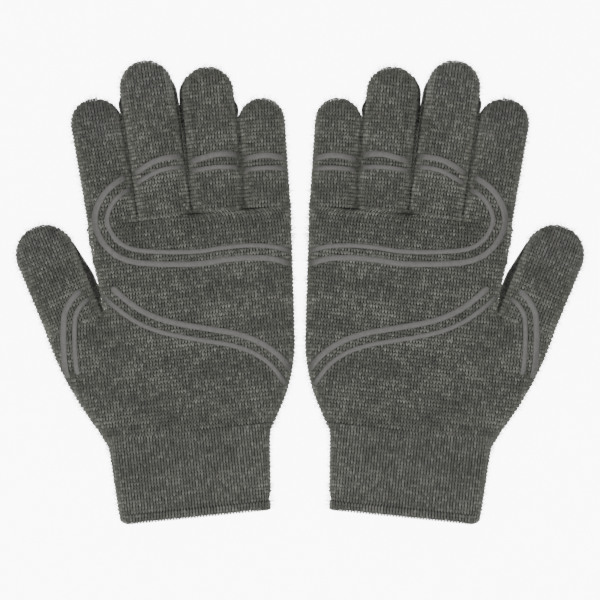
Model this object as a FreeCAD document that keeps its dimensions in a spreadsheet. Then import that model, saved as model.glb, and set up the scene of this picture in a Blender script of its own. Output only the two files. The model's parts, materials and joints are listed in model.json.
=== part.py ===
"""A pair of knitted touchscreen gloves, lying palm up with the fingers along +Y.

Each glove is a ribbed cuff, a knitted hand and five finger stalls, with a soft lining inside.
The thumb, index and middle stalls end in tips of conductive yarn. Raised grip lines of
silicone are printed on the palm side. Every stall folds up at its root, towards the palm.

The left glove is modelled and the right one is its mirror image in the plane X = 0.
Sizes are in millimetres and degrees. A glove's own frame has its origin at the middle of
the wrist, with +Y towards the fingers, and the pair stands on Z = 0.
"""

import FreeCAD, Part
import Sketcher
import math
import os

Vector = FreeCAD.Vector
UP = Vector(0, 0, 1)

FINGERS = ("index", "middle", "ring", "little")
STALLS = ("thumb",) + FINGERS
TOUCH_STALLS = ("thumb", "index", "middle")

# The driving dimensions: name, value, what it is.
DRIVING = (
    ("pair_gap", 4.8, "free space between the two gloves"),
    ("depth", 15.0, "height of a stall and of the hand as it lies"),
    ("edge_round", 6.9, "rounding of the hand's and the stalls' sides"),
    ("knit_wall", 2.0, "outer fabric"),
    ("lining_clearance", 0.2, "between outer fabric and lining"),
    ("lining_wall", 1.3, "lining fabric"),
    ("root_gap", 0.4, "between a stall and the hand, at its fold"),
    ("stall_gap", 0.4, "between neighbouring stalls"),
    ("crotch_web", 3.0, "fabric between two stalls' mouths"),
    ("index_width", 25.4, "flat width of the index stall"),
    ("index_length", 63.8, "root to tip"),
    ("index_tilt", 9.7, "lean away from +Y, towards the thumb"),
    ("middle_width", 27.4, "flat width of the middle stall"),
    ("middle_length", 78.6, "root to tip"),
    ("middle_tilt", 8.3, "lean"),
    ("ring_width", 26.4, "flat width of the ring stall"),
    ("ring_length", 72.0, "root to tip"),
    ("ring_tilt", 5.1, "lean"),
    ("little_width", 23.4, "flat width of the little stall"),
    ("little_length", 54.2, "root to tip"),
    ("little_tilt", 3.8, "lean"),
    ("thumb_width", 30.4, "flat width of the thumb stall"),
    ("thumb_length", 53.6, "root to tip"),
    ("thumb_tilt", 22.6, "lean"),
    ("thumb_x", -57.2, "middle of the thumb's root, across the glove"),
    ("thumb_y", 53.5, "middle of the thumb's root, along the glove"),
    ("palm_length", 114.3, "wrist to the little stall's outer root"),
    ("heel_width", 53.0, "wrist's middle to the outer side of the palm"),
    ("heel_height", 45.0, "where the outer side starts to turn in to the wrist"),
    ("heel_round", 80.0, "radius of that turn"),
    ("thumb_side_round", 160.0, "radius of the side from the wrist to the thumb"),
    ("wrist_width", 83.4, "flat width at the wrist"),
    ("cuff_tilt", 5.8, "turn of the cuff about the wrist's middle"),
    ("cuff_depth", 14.0, "height of the cuff as it lies"),
    ("cuff_length", 38.0, "ribbed length, without the hem"),
    ("hem_width", 75.8, "flat width at the hem"),
    ("hem_shift", 1.6, "how far the hem's middle lies towards the thumb"),
    ("hem_length", 4.4, "height of the overlocked hem"),
    ("hem_round", 4.0, "rounding of the hem's corners"),
    ("thread_thick", 0.8, "elastic thread in the cuff"),
    ("thread_pitch", 8.0, "from one elastic thread to the next"),
    ("thread_count", 4, "elastic threads in a cuff"),
    ("touch_length", 21.0, "conductive yarn at a stall's end"),
    ("print_height", 0.8, "grip lines stand this far off the fabric"),
    ("print_wide", 3.0, "width of a pair's outer line"),
    ("print_slim", 2.4, "width of a pair's inner line"),
    ("print_spacing", 6.1, "between the middles of a pair's two lines"),
    ("print_end_gap", 1.0, "lines stop this far short of a fold"),
)


class Size:
    """A number together with the formula on the sheet that gives it."""

    def __init__(self, number, formula):
        self.number = number
        self.formula = formula

    def combine(self, other, sign, number):
        return Size(number, "(%s %s %s)" % (self.formula, sign, other.formula))

    def __add__(self, other):
        other = as_size(other)
        return self.combine(other, "+", self.number + other.number)

    def __sub__(self, other):
        other = as_size(other)
        return self.combine(other, "-", self.number - other.number)

    def __mul__(self, other):
        other = as_size(other)
        return self.combine(other, "*", self.number * other.number)

    def __truediv__(self, other):
        other = as_size(other)
        return self.combine(other, "/", self.number / other.number)

    def __neg__(self):
        return self * -1

    def cosine(self):
        return Size(math.cos(math.radians(self.number)), "cos(%s * 1deg)" % self.formula)

    def sine(self):
        return Size(math.sin(math.radians(self.number)), "sin(%s * 1deg)" % self.formula)


def as_size(value):
    return value if isinstance(value, Size) else Size(float(value), repr(float(value)))


def make_sheet(doc):
    """Writes the driving dimensions to a spreadsheet, one row each."""
    sheet = doc.addObject("Spreadsheet::Sheet", "Sizes")
    for row, (name, value, words) in enumerate(DRIVING, 1):
        sheet.set("A%d" % row, name)
        sheet.set("B%d" % row, str(value))
        sheet.set("C%d" % row, words)
        sheet.setAlias("B%d" % row, name)
    doc.recompute()
    return sheet


def size(sheet, name):
    return Size(float(sheet.get(name)), "Sizes.%s" % name)


class Glove:
    """The left glove's layout: every place that pieces share, worked out from the sheet."""

    def __init__(self, sheet):
        for name, _, _ in DRIVING:
            setattr(self, name, size(sheet, name))
        self.tilt = {name: getattr(self, name + "_tilt") for name in STALLS}
        self.width = {name: getattr(self, name + "_width") for name in STALLS}
        self.length = {name: getattr(self, name + "_length") for name in STALLS}
        self.lay_knuckles()
        self.lay_roots()
        middle_y = (self.reach_up() + self.reach_down()) / 2
        self.origin = (-(self.heel_width + self.pair_gap / 2), -middle_y)

    def lay_knuckles(self):
        """The stalls' roots stand side by side along a bent line, from the outer side of the
        palm to the index side. self.knuckles holds its corners in that order, index first."""
        x, y = self.heel_width - 2.0, self.palm_length
        corners = [(x, y)]
        for name in reversed(FINGERS):
            x = x - self.width[name] * self.tilt[name].cosine()
            y = y - self.width[name] * self.tilt[name].sine()
            corners.append((x, y))
        self.knuckles = corners[::-1]

    def lay_roots(self):
        """The middle of each stall's root, where its fold lies."""
        self.root = {"thumb": (self.thumb_x, self.thumb_y)}
        for name, (a, b) in zip(FINGERS, zip(self.knuckles, self.knuckles[1:])):
            self.root[name] = ((a[0] + b[0]) / 2, (a[1] + b[1]) / 2)

    def reach_up(self):
        """How far the middle stall, the longest one, comes up the glove."""
        end_radius = (self.width["middle"] - self.stall_gap) / 2
        to_centre = (self.length["middle"] - self.width["middle"] / 2) * self.tilt["middle"].cosine()
        return self.root["middle"][1] + to_centre + end_radius

    def reach_down(self):
        """How far the hem's lower corner, on the thumb side, comes down the glove."""
        across = self.hem_width / 2 + self.hem_shift - self.hem_round
        down = self.cuff_length + self.hem_length - self.hem_round
        tilt = self.cuff_tilt
        return -(down * tilt.cosine() + across * tilt.sine()) - self.hem_round

    def thumb_corner(self, side, inset):
        """A corner of the thumb's root: side is -1 for the outer one and 1 for the crotch."""
        reach = (self.width["thumb"] / 2 - inset) * side
        x = self.root["thumb"][0] + self.tilt["thumb"].cosine() * reach
        y = self.root["thumb"][1] + self.tilt["thumb"].sine() * reach
        return x, y

    def wrist_corner(self, side, inset, below):
        """A corner of the wrist, moved in by inset and down the cuff by below."""
        reach = (self.wrist_width / 2 - inset) * side
        cosine, sine = self.cuff_tilt.cosine(), self.cuff_tilt.sine()
        return cosine * reach + sine * below, sine * reach - cosine * below


def new_body(doc, name, x, y, turn):
    """A PartDesign body whose own origin stands at x, y, turned about Z."""
    body = doc.addObject("PartDesign::Body", name)
    body.Placement = FreeCAD.Placement(
        Vector(x.number, y.number, 0), FreeCAD.Rotation(UP, turn.number or 1.0)
    )
    body.setExpression("Placement.Base.x", x.formula)
    body.setExpression("Placement.Base.y", y.formula)
    body.setExpression("Placement.Rotation.Angle", "%s * 1deg" % turn.formula)
    return body


def new_sketch(body, name, role, lift=None):
    """A sketch on one of the body's own origin planes, lifted off it by a bound size."""
    sketch = body.newObject("Sketcher::SketchObject", name)
    plane = [f for f in body.Origin.OriginFeatures if f.Role == role][0]
    sketch.AttachmentSupport = [(plane, "")]
    sketch.MapMode = "FlatFace"
    if lift is not None:
        sketch.setExpression("AttachmentOffset.Base.z", lift.formula)
    return sketch


def bind(sketch, constraint, name, value):
    """Adds a dimension constraint and ties it to its formula."""
    index = sketch.addConstraint(constraint)
    sketch.renameConstraint(index, name)
    sketch.setExpression("Constraints.%s" % name, value.formula)


def pin(sketch, edge, end, name, x, y):
    """Holds one end of an edge at x, y."""
    bind(sketch, Sketcher.Constraint("DistanceX", -1, 1, edge, end, x.number), name + "_x", x)
    bind(sketch, Sketcher.Constraint("DistanceY", -1, 1, edge, end, y.number), name + "_y", y)


def arc_between(start, end, radius):
    """The shorter arc of that radius, clockwise from start to end, both as Vectors."""
    chord = end - start
    middle = (start + end) / 2
    rise = math.sqrt(radius**2 - (chord.Length / 2) ** 2)
    across = Vector(chord.y, -chord.x, 0).normalize()
    centre = middle + across * rise
    from_angle = math.atan2(end.y - centre.y, end.x - centre.x)
    to_angle = math.atan2(start.y - centre.y, start.x - centre.x)
    return Part.ArcOfCircle(Part.Circle(centre, UP, radius), from_angle, to_angle)


def closed_outline(sketch, corners):
    """Draws a closed outline clockwise. A corner is (x, y, radius): radius is None before a
    straight side and the side's radius before a round one. Every corner is pinned."""
    points = [Vector(x.number, y.number, 0) for x, y, _ in corners]
    first_ends = []
    for index, (_, _, radius) in enumerate(corners):
        start, end = points[index], points[(index + 1) % len(points)]
        if radius is None:
            sketch.addGeometry(Part.LineSegment(start, end), False)
            first_ends.append(1)
        else:
            sketch.addGeometry(arc_between(start, end, radius.number), False)
            first_ends.append(2)
    for index in range(len(corners)):
        after = (index + 1) % len(corners)
        last_end = 3 - first_ends[index]
        sketch.addConstraint(
            Sketcher.Constraint("Coincident", index, last_end, after, first_ends[after])
        )
    for index, (x, y, radius) in enumerate(corners):
        pin(sketch, index, first_ends[index], "corner%d" % index, x, y)
        if radius is not None:
            bind(
                sketch,
                Sketcher.Constraint("Radius", index, radius.number),
                "radius%d" % index,
                radius,
            )


def pad(body, sketch, length):
    feature = body.newObject("PartDesign::Pad", "Pad")
    feature.Profile = sketch
    feature.setExpression("Length", length.formula)
    body.Document.recompute()
    return feature


def level_edges(shape, keep):
    """Names of the top and bottom edges whose middle passes the test keep."""
    names = []
    for number, edge in enumerate(shape.Edges, 1):
        box = edge.BoundBox
        middle = edge.valueAt((edge.FirstParameter + edge.LastParameter) / 2)
        if box.ZLength < 1e-6 and keep(middle):
            names.append("Edge%d" % number)
    return names


def round_edges(body, feature, names, radius):
    fillet = body.newObject("PartDesign::Fillet", "Round")
    fillet.Base = (feature, names)
    fillet.setExpression("Radius", radius.formula)
    body.Document.recompute()
    return fillet


def stall_solid(doc, glove, name, purpose, inset, root):
    """A stall's outline as a rounded slab with a round end, every face moved in by inset.
    In its own frame it runs along +Y, from root to the stall's length."""
    x = glove.origin[0] + glove.root[name][0]
    y = glove.origin[1] + glove.root[name][1]
    body = new_body(doc, "%s_%s" % (name, purpose), x, y, glove.tilt[name])
    sketch = new_sketch(body, "Plan", "XY_Plane", inset)
    half = (glove.width[name] - glove.stall_gap) / 2 - inset
    reach = glove.length[name] - glove.width[name] / 2
    left, right = -half.number, half.number
    low, high = root.number, reach.number
    sketch.addGeometry(Part.LineSegment(Vector(left, low, 0), Vector(left, high, 0)), False)
    end = Part.Circle(Vector(0, high, 0), UP, half.number)
    sketch.addGeometry(Part.ArcOfCircle(end, 0, math.pi), False)
    sketch.addGeometry(Part.LineSegment(Vector(right, high, 0), Vector(right, low, 0)), False)
    sketch.addGeometry(Part.LineSegment(Vector(right, low, 0), Vector(left, low, 0)), False)
    for constraint in (
        ("Tangent", 0, 2, 1, 2),
        ("Tangent", 2, 1, 1, 1),
        ("Coincident", 2, 2, 3, 1),
        ("Coincident", 3, 2, 0, 1),
        ("Vertical", 0),
        ("PointOnObject", 1, 3, -2),
        ("Horizontal", 3),
    ):
        sketch.addConstraint(Sketcher.Constraint(*constraint))
    bind(sketch, Sketcher.Constraint("Radius", 1, half.number), "end_radius", half)
    bind(sketch, Sketcher.Constraint("DistanceY", -1, 1, 1, 3, high), "reach", reach)
    bind(sketch, Sketcher.Constraint("DistanceY", -1, 1, 0, 1, low), "root", root)
    slab = pad(body, sketch, glove.depth - inset * 2)
    sides = level_edges(slab.Shape, lambda p: p.y > low + 1e-3)
    round_edges(body, slab, sides, glove.edge_round - inset)
    return body


def hand_solid(doc, glove, purpose, inset, mouth_drop, wrist_reach):
    """The hand from the wrist to the stalls' roots, as a slab with rounded sides. Sides, top
    and bottom move in by inset. The stalls' mouths drop back by mouth_drop, and the wrist
    end goes past the wrist line by wrist_reach."""
    body = new_body(doc, "hand_%s" % purpose, *glove.origin, as_size(0))
    sketch = new_sketch(body, "Plan", "XY_Plane", inset)
    crotch_x, crotch_y = glove.thumb_corner(1, -glove.stall_gap / 2)
    outer_x, outer_y = glove.thumb_corner(-1, inset)
    lean_x = glove.tilt["thumb"].sine() * mouth_drop
    lean_y = glove.tilt["thumb"].cosine() * mouth_drop
    knuckles = [(x, y - mouth_drop) for x, y in glove.knuckles]
    knuckles[0] = (knuckles[0][0] + inset, knuckles[0][1])
    knuckles[-1] = (knuckles[-1][0] - inset, knuckles[-1][1])
    corners = [
        (*glove.wrist_corner(-1, inset, wrist_reach), glove.thumb_side_round - inset),
        (outer_x + lean_x, outer_y - lean_y, None),
        (crotch_x + inset + lean_x, crotch_y - lean_y, None),
    ]
    corners += [(x, y, None) for x, y in knuckles]
    corners += [
        (glove.heel_width - inset, glove.heel_height, glove.heel_round - inset),
        (*glove.wrist_corner(1, inset, wrist_reach), None),
    ]
    closed_outline(sketch, corners)
    slab = pad(body, sketch, glove.depth - inset * 2)
    side_walls = [
        (corners[0], corners[1]),
        (corners[2], corners[3]),
        (corners[-3], corners[-2]),
        (corners[-2], corners[-1]),
    ]
    middles = [side_middle(a, b) for a, b in side_walls]
    sides = level_edges(slab.Shape, lambda p: near_any(p, middles))
    round_edges(body, slab, sides, glove.edge_round - inset)
    return body


def side_middle(a, b):
    """The middle of the side that runs from corner a to corner b."""
    start = Vector(a[0].number, a[1].number, 0)
    end = Vector(b[0].number, b[1].number, 0)
    if a[2] is None:
        return (start + end) / 2
    arc = arc_between(start, end, a[2].number)
    return arc.value((arc.FirstParameter + arc.LastParameter) / 2)


def near_any(point, places, within=0.05):
    return any(math.hypot(point.x - p.x, point.y - p.y) < within for p in places)


def cuff_solid(doc, glove, purpose, inset, top, bottom, corner_round=None):
    """The cuff between two heights along it, as a tapered slab with rounded sides, or with
    rounded corners at its end where corner_round is given. In its own frame the wrist line
    is Y = 0 and the cuff runs down -Y. top and bottom are distances from the wrist, and the
    width follows the taper between wrist and hem."""
    body = new_body(doc, "cuff_%s" % purpose, *glove.origin, glove.cuff_tilt)
    sketch = new_sketch(body, "Plan", "XY_Plane", inset)
    full = glove.cuff_length + glove.hem_length

    def edge(side, down):
        half = glove.wrist_width / 2 - (glove.wrist_width - glove.hem_width) / 2 * (down / full)
        return (half - inset) * side - glove.hem_shift * (down / full), -down

    corners = [(*edge(-1, bottom), None), (*edge(-1, top), None)]
    corners += [(*edge(1, top), None), (*edge(1, bottom), None)]
    closed_outline(sketch, corners)
    slab = pad(body, sketch, glove.cuff_depth - inset * 2)
    if corner_round is not None:
        ends = upright_edges(slab.Shape, -bottom.number)
        round_edges(body, slab, ends, corner_round)
        return body
    walls = [(corners[0], corners[1]), (corners[2], corners[3])]
    middles = [side_middle(a, b) for a, b in walls]
    sides = level_edges(slab.Shape, lambda p: near_any(p, middles))
    round_edges(body, slab, sides, glove.cuff_depth / 2 - 0.2 - inset)
    return body


def upright_edges(shape, y):
    """Names of the upright edges at one end of a slab."""
    names = []
    for number, edge in enumerate(shape.Edges, 1):
        box = edge.BoundBox
        if box.ZLength > 1 and abs(box.YMax - y) < 1e-3 and abs(box.YMin - y) < 1e-3:
            names.append("Edge%d" % number)
    return names


def cut(doc, name, base, tool):
    feature = doc.addObject("Part::Cut", name)
    feature.Base = base
    feature.Tool = tool
    return feature


def common(doc, name, base, tool):
    feature = doc.addObject("Part::Common", name)
    feature.Base = base
    feature.Tool = tool
    return feature


def join(doc, name, shapes):
    feature = doc.addObject("Part::MultiFuse", name)
    feature.Shapes = shapes
    return feature


def group(doc, name, links):
    feature = doc.addObject("Part::Compound", name)
    feature.Links = links
    return feature


def touch_box(doc, glove, name):
    """A box around the end of a stall, from where its conductive yarn starts."""
    box = doc.addObject("Part::Box", "%s_touch_box" % name)
    x = glove.origin[0] + glove.root[name][0]
    y = glove.origin[1] + glove.root[name][1]
    tilt = glove.tilt[name]
    start = glove.length[name] - glove.touch_length
    margin = glove.knit_wall
    half = glove.width[name] / 2 + margin
    corner_x = x - tilt.cosine() * half - tilt.sine() * start
    corner_y = y - tilt.sine() * half + tilt.cosine() * start
    box.Placement.Rotation = FreeCAD.Rotation(UP, tilt.number)
    box.setExpression("Placement.Base.x", corner_x.formula)
    box.setExpression("Placement.Base.y", corner_y.formula)
    box.setExpression("Placement.Base.z", (-margin).formula)
    box.setExpression("Placement.Rotation.Angle", "%s * 1deg" % tilt.formula)
    box.setExpression("Length", (half * 2).formula)
    box.setExpression("Width", (glove.touch_length + margin).formula)
    box.setExpression("Height", (glove.depth + margin * 2).formula)
    return box


# Each grip line's path. Hand and thumb lines are given as shares of the glove: across, 1 is
# the outer side of the palm and -1 the same distance the other way; along, 0 is the wrist
# and 1 the little stall's root. A pair's two lines run on either side of the path.
KNUCKLE_PATH = (
    (-0.57, 1.094),
    (-0.70, 1.050),
    (-0.785, 0.998),
    (-0.825, 0.936),
    (-0.80, 0.880),
    (-0.725, 0.825),
    (-0.60, 0.784),
    (-0.42, 0.766),
    (-0.09, 0.761),
    (0.13, 0.766),
    (0.32, 0.780),
    (0.56, 0.790),
    (0.79, 0.785),
    (0.99, 0.760),
)
HEEL_PATH = (
    (-0.765, 0.615),
    (-0.63, 0.560),
    (-0.47, 0.508),
    (-0.26, 0.467),
    (-0.03, 0.443),
    (0.19, 0.426),
    (0.42, 0.407),
    (0.63, 0.373),
    (0.81, 0.315),
    (0.955, 0.228),
)
THUMB_PATH = (
    (-0.98, 0.605),
    (-1.06, 0.565),
    (-1.115, 0.514),
    (-1.125, 0.444),
    (-1.125, 0.379),
    (-1.108, 0.283),
    (-1.085, 0.245),
)
# A finger's two short lines, each as (across, along) at its two ends and its middle, in
# shares of the stall's half width and of its length.
FINGER_LINES = {
    "middle": (
        ((-0.84, 0.295), (0.05, 0.352), (0.92, 0.360)),
        ((-0.76, 0.232), (0.05, 0.284), (0.86, 0.292)),
    ),
    "ring": (
        ((-0.84, 0.345), (0.10, 0.377), (0.92, 0.368)),
        ((-0.78, 0.280), (0.10, 0.290), (0.88, 0.278)),
    ),
    "little": (
        ((-0.84, 0.443), (0.10, 0.459), (0.90, 0.420)),
        ((-0.78, 0.340), (0.10, 0.344), (0.86, 0.324)),
    ),
}


def strip(doc, name, points, shift, width, floor, height):
    """An upright strip along a smooth path: the band of that width whose middle runs at
    shift to the left of the path, from floor up to height."""
    path = Part.BSplineCurve()
    path.interpolate(points)
    count = 4 * len(points)
    left, right = [], []
    for index in range(count + 1):
        share = index / count
        u = path.FirstParameter + (path.LastParameter - path.FirstParameter) * share
        along = path.tangent(u)[0]
        aside = Vector(-along.y, along.x, 0)
        here = path.value(u)
        left.append(here + aside * (shift + width / 2))
        right.append(here + aside * (shift - width / 2))
    edges = []
    for side in (left, right):
        curve = Part.BSplineCurve()
        curve.interpolate(side)
        edges.append(curve.toShape())
    ends = [Part.LineSegment(left[k], right[k]).toShape() for k in (0, -1)]
    outline = Part.Wire(Part.__sortEdges__([edges[0], ends[1], edges[1], ends[0]]))
    shape = Part.Face(outline).extrude(UP * height)
    feature = doc.addObject("Part::Feature", name)
    feature.Shape = shape
    feature.Placement = FreeCAD.Placement(Vector(0, 0, floor), FreeCAD.Rotation())
    return feature


def hand_points(glove, path):
    """A path given in shares of the hand, as points of the part's frame."""
    x0, y0 = (value.number for value in glove.origin)
    across, along = glove.heel_width.number, glove.palm_length.number
    return [Vector(x0 + x * across, y0 + y * along, 0) for x, y in path]


def stall_points(glove, name, path):
    """A path given in shares of a stall, as points of the part's frame."""
    x0 = (glove.origin[0] + glove.root[name][0]).number
    y0 = (glove.origin[1] + glove.root[name][1]).number
    cosine, sine = glove.tilt[name].cosine().number, glove.tilt[name].sine().number
    half, length = glove.width[name].number / 2, glove.length[name].number
    found = []
    for x, y in path:
        across, along = x * half, y * length
        found.append(Vector(x0 + cosine * across - sine * along, y0 + sine * across + cosine * along, 0))
    return found


def print_strips(doc, glove):
    """Every grip line as an upright strip, by name."""
    floor, height = glove.depth.number / 2, glove.depth.number
    half = glove.print_spacing.number / 2
    wide, slim = glove.print_wide.number, glove.print_slim.number
    made = {}

    def add(name, points, shift, width):
        made[name] = strip(doc, name + "_strip", points, shift, width, floor, height)

    # Seen from the index tip, the knuckle path's outer line runs to its right.
    knuckle = hand_points(glove, KNUCKLE_PATH)
    add("knuckle_line_outer", knuckle, -half, wide)
    add("knuckle_line_inner", knuckle, half, slim)
    heel = hand_points(glove, HEEL_PATH)
    add("heel_line_upper", heel, half, wide)
    add("heel_line_lower", heel, -half, slim)
    thumb = hand_points(glove, THUMB_PATH)
    add("thumb_line_outer", thumb, -half * 0.9, wide)
    add("thumb_line_inner", thumb, half * 0.9, slim)
    for name, (upper, lower) in FINGER_LINES.items():
        add("%s_line_upper" % name, stall_points(glove, name, upper), 0.0, wide)
        add("%s_line_lower" % name, stall_points(glove, name, lower), 0.0, slim)
    return made


def make_stalls(doc, glove, parts, layers):
    """Five stalls: outer fabric, touch tips and lining. layers keeps the solids that the
    hand's mouths are cut with, and the skins that grip lines are cut from."""
    zero = as_size(0)
    lining_out = glove.knit_wall + glove.lining_clearance
    lining_in = lining_out + glove.lining_wall
    for name in STALLS:
        outer = stall_solid(doc, glove, name, "outer", zero, glove.root_gap)
        room = stall_solid(doc, glove, name, "room", glove.knit_wall, -glove.crotch_web)
        lining = stall_solid(doc, glove, name, "lining_outer", lining_out, -glove.crotch_web)
        inside = stall_solid(doc, glove, name, "lining_room", lining_in, -glove.crotch_web - 1)
        layers["room"].append(room)
        layers["lining_outer"].append(lining)
        layers["lining_room"].append(inside)
        shell = cut(doc, "%s_shell" % name, outer, room)
        if name in TOUCH_STALLS:
            box = touch_box(doc, glove, name)
            parts["%s_stall" % name] = cut(doc, "%s_stall" % name, shell, box)
            parts["%s_touch_tip" % name] = common(doc, "%s_touch_tip" % name, shell, box)
        else:
            parts["%s_stall" % name] = shell
        tube = cut(doc, "%s_lining_tube" % name, lining, inside)
        parts["%s_lining" % name] = common(doc, "%s_lining" % name, tube, outer)
        start = glove.root_gap + glove.print_end_gap
        raised = stall_solid(doc, glove, name, "raised", -glove.print_height, start)
        layers["skins"][name] = cut(doc, "%s_skin" % name, raised, outer)


def make_hand(doc, glove, parts, layers):
    """The knitted hand and its lining, open at the wrist and into every stall."""
    zero = as_size(0)
    lining_out = glove.knit_wall + glove.lining_clearance
    lining_in = lining_out + glove.lining_wall
    past = glove.knit_wall
    web = glove.crotch_web
    outer = hand_solid(doc, glove, "outer", zero, zero, zero)
    room = hand_solid(doc, glove, "room", glove.knit_wall, web * 0.7, past)
    lining = hand_solid(doc, glove, "lining_outer", lining_out, web * 0.75, past)
    inside = hand_solid(doc, glove, "lining_room", lining_in, web * 1.15, past * 2)
    all_room = join(doc, "hand_all_room", [room] + layers["room"])
    parts["hand"] = cut(doc, "hand", outer, all_room)
    lining_all = join(doc, "hand_lining_solid", [lining] + layers["lining_outer"])
    inside_all = join(doc, "hand_lining_room_all", [inside] + layers["lining_room"])
    lining_shell = cut(doc, "hand_lining_shell", lining_all, inside_all)
    parts["hand_lining"] = common(doc, "hand_lining", lining_shell, outer)
    raised = hand_solid(doc, glove, "raised", -glove.print_height, glove.print_end_gap, zero)
    layers["skins"]["hand"] = cut(doc, "hand_skin", raised, outer)


def make_cuff(doc, glove, parts):
    """The ribbed cuff, its hem, its lining and the elastic threads between them."""
    zero = as_size(0)
    past = glove.knit_wall
    bottom = glove.cuff_length
    end = glove.cuff_length + glove.hem_length
    lining_out = glove.knit_wall + glove.thread_thick + glove.lining_clearance
    lining_in = lining_out + glove.lining_wall
    outer = cuff_solid(doc, glove, "outer", zero, zero, bottom)
    hem_band = cuff_solid(doc, glove, "hem_band", zero, bottom, end)
    hem_corners = cuff_solid(doc, glove, "hem_corners", zero, bottom, end, glove.hem_round)
    hem = common(doc, "cuff_hem_outer", hem_band, hem_corners)
    room = cuff_solid(doc, glove, "room", glove.knit_wall, -past, bottom)
    hem_room = cuff_solid(doc, glove, "hem_room", lining_in, bottom - past, end + past)
    lining = cuff_solid(doc, glove, "lining_outer", lining_out, zero, bottom)
    inside = cuff_solid(doc, glove, "lining_room", lining_in, -past, bottom + past)
    parts["cuff"] = cut(doc, "cuff", outer, room)
    parts["cuff_hem"] = cut(doc, "cuff_hem", hem, hem_room)
    parts["cuff_lining"] = cut(doc, "cuff_lining", lining, inside)
    parts["cuff_elastic"] = elastic_threads(doc, glove)


def elastic_threads(doc, glove):
    """Thin elastic rings laid round the inside of the rib, evenly spaced along the cuff."""
    inset = (glove.knit_wall + (glove.thread_thick + glove.lining_clearance) / 2).number
    full = (glove.cuff_length + glove.hem_length).number
    count = int(glove.thread_count.number)
    pitch = glove.thread_pitch.number
    start = (glove.cuff_length.number - pitch * (count - 1)) / 2
    rings = []
    for index in range(count):
        down = start + pitch * index
        share = down / full
        taper = (glove.wrist_width - glove.hem_width).number / 2 * share
        half = glove.wrist_width.number / 2 - taper - inset
        radius = glove.cuff_depth.number / 2 - inset
        middle_x = -glove.hem_shift.number * share
        middle = Vector(middle_x, -down, glove.cuff_depth.number / 2)
        ring = doc.addObject("Part::Feature", "elastic_thread")
        ring.Shape = thread_ring(middle, half - radius, radius, glove.thread_thick.number / 2)
        ring.Placement = FreeCAD.Placement(
            Vector(glove.origin[0].number, glove.origin[1].number, 0),
            FreeCAD.Rotation(UP, glove.cuff_tilt.number),
        )
        rings.append(ring)
    return group(doc, "cuff_elastic", rings)


def thread_ring(middle, half_straight, radius, thread_radius):
    """A round thread bent into a flat-sided ring in the XZ plane: two straight runs joined
    by two half turns."""
    side, rise = Vector(half_straight, 0, 0), Vector(0, 0, radius)
    along_y = Vector(0, 1, 0)
    pieces = []
    for sign in (1, -1):
        start = middle - side + rise * sign
        pieces.append(Part.makeCylinder(thread_radius, 2 * half_straight, start, Vector(1, 0, 0)))
        ring = Part.makeTorus(radius, thread_radius, middle + side * sign, along_y)
        half = Part.makeBox(
            radius + 2, 4, 2 * radius + 4, middle + side * sign + Vector(0, -2, -radius - 2)
        )
        if sign < 0:
            half = half.translated(Vector(-radius - 2, 0, 0))
        pieces.append(ring.common(half))
    return pieces[0].multiFuse(pieces[1:]).removeSplitter()


def make_prints(doc, glove, parts, layers):
    """Cuts each grip line out of the raised skin of the piece that it is printed on."""
    strips = print_strips(doc, glove)
    skins = layers["skins"]

    def line(node, strip_name, skin):
        parts[node] = common(doc, node, skins[skin], strips[strip_name])

    for side in ("outer", "inner"):
        line("knuckle_line_%s" % side, "knuckle_line_%s" % side, "hand")
        index_part = common(
            doc, "index_part_%s" % side, skins["index"], strips["knuckle_line_%s" % side]
        )
        layers["index_lines"].append(index_part)
        thumb_strip = strips["thumb_line_%s" % side]
        layers["thumb_lines"].append(common(doc, "on_thumb_%s" % side, skins["thumb"], thumb_strip))
        layers["gusset_lines"].append(common(doc, "on_hand_%s" % side, skins["hand"], thumb_strip))
    for side in ("upper", "lower"):
        line("heel_line_%s" % side, "heel_line_%s" % side, "hand")
    parts["index_lines"] = group(doc, "index_lines", layers["index_lines"])
    parts["thumb_lines"] = group(doc, "thumb_lines", layers["thumb_lines"])
    parts["thumb_root_lines"] = group(doc, "thumb_root_lines", layers["gusset_lines"])
    for name in FINGER_LINES:
        pair = [
            common(doc, "%s_on_%s" % (side, name), skins[name], strips["%s_line_%s" % (name, side)])
            for side in ("upper", "lower")
        ]
        parts["%s_lines" % name] = group(doc, "%s_lines" % name, pair)


def build(doc, sheet):
    """Builds the left glove, then its mirror image, and returns every piece by node name."""
    glove = Glove(sheet)
    parts = {}
    layers = {"room": [], "lining_outer": [], "lining_room": [], "skins": {}}
    layers.update({"index_lines": [], "thumb_lines": [], "gusset_lines": []})
    make_stalls(doc, glove, parts, layers)
    make_hand(doc, glove, parts, layers)
    make_cuff(doc, glove, parts)
    make_prints(doc, glove, parts, layers)
    pieces = {}
    for name, feature in parts.items():
        feature.Label = "left_%s" % name
        pieces[feature.Label] = feature
    for name, feature in parts.items():
        mirrored = doc.addObject("Part::Mirroring", "right_%s" % name)
        mirrored.Source = feature
        mirrored.Base = Vector(0, 0, 0)
        mirrored.Normal = Vector(1, 0, 0)
        mirrored.Label = "right_%s" % name
        pieces[mirrored.Label] = mirrored
    doc.recompute()
    return pieces


def check(doc, pieces):
    """Stops if an object failed, or a piece isn't a set of valid closed solids."""
    for thing in doc.Objects:
        if "Invalid" in thing.State or "Error" in thing.State:
            raise RuntimeError("%s failed: %s" % (thing.Label, thing.State))
    for name, feature in pieces.items():
        shape = feature.Shape
        if shape.isNull() or not shape.isValid() or not shape.Solids:
            raise RuntimeError("%s has no valid solid" % name)


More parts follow.
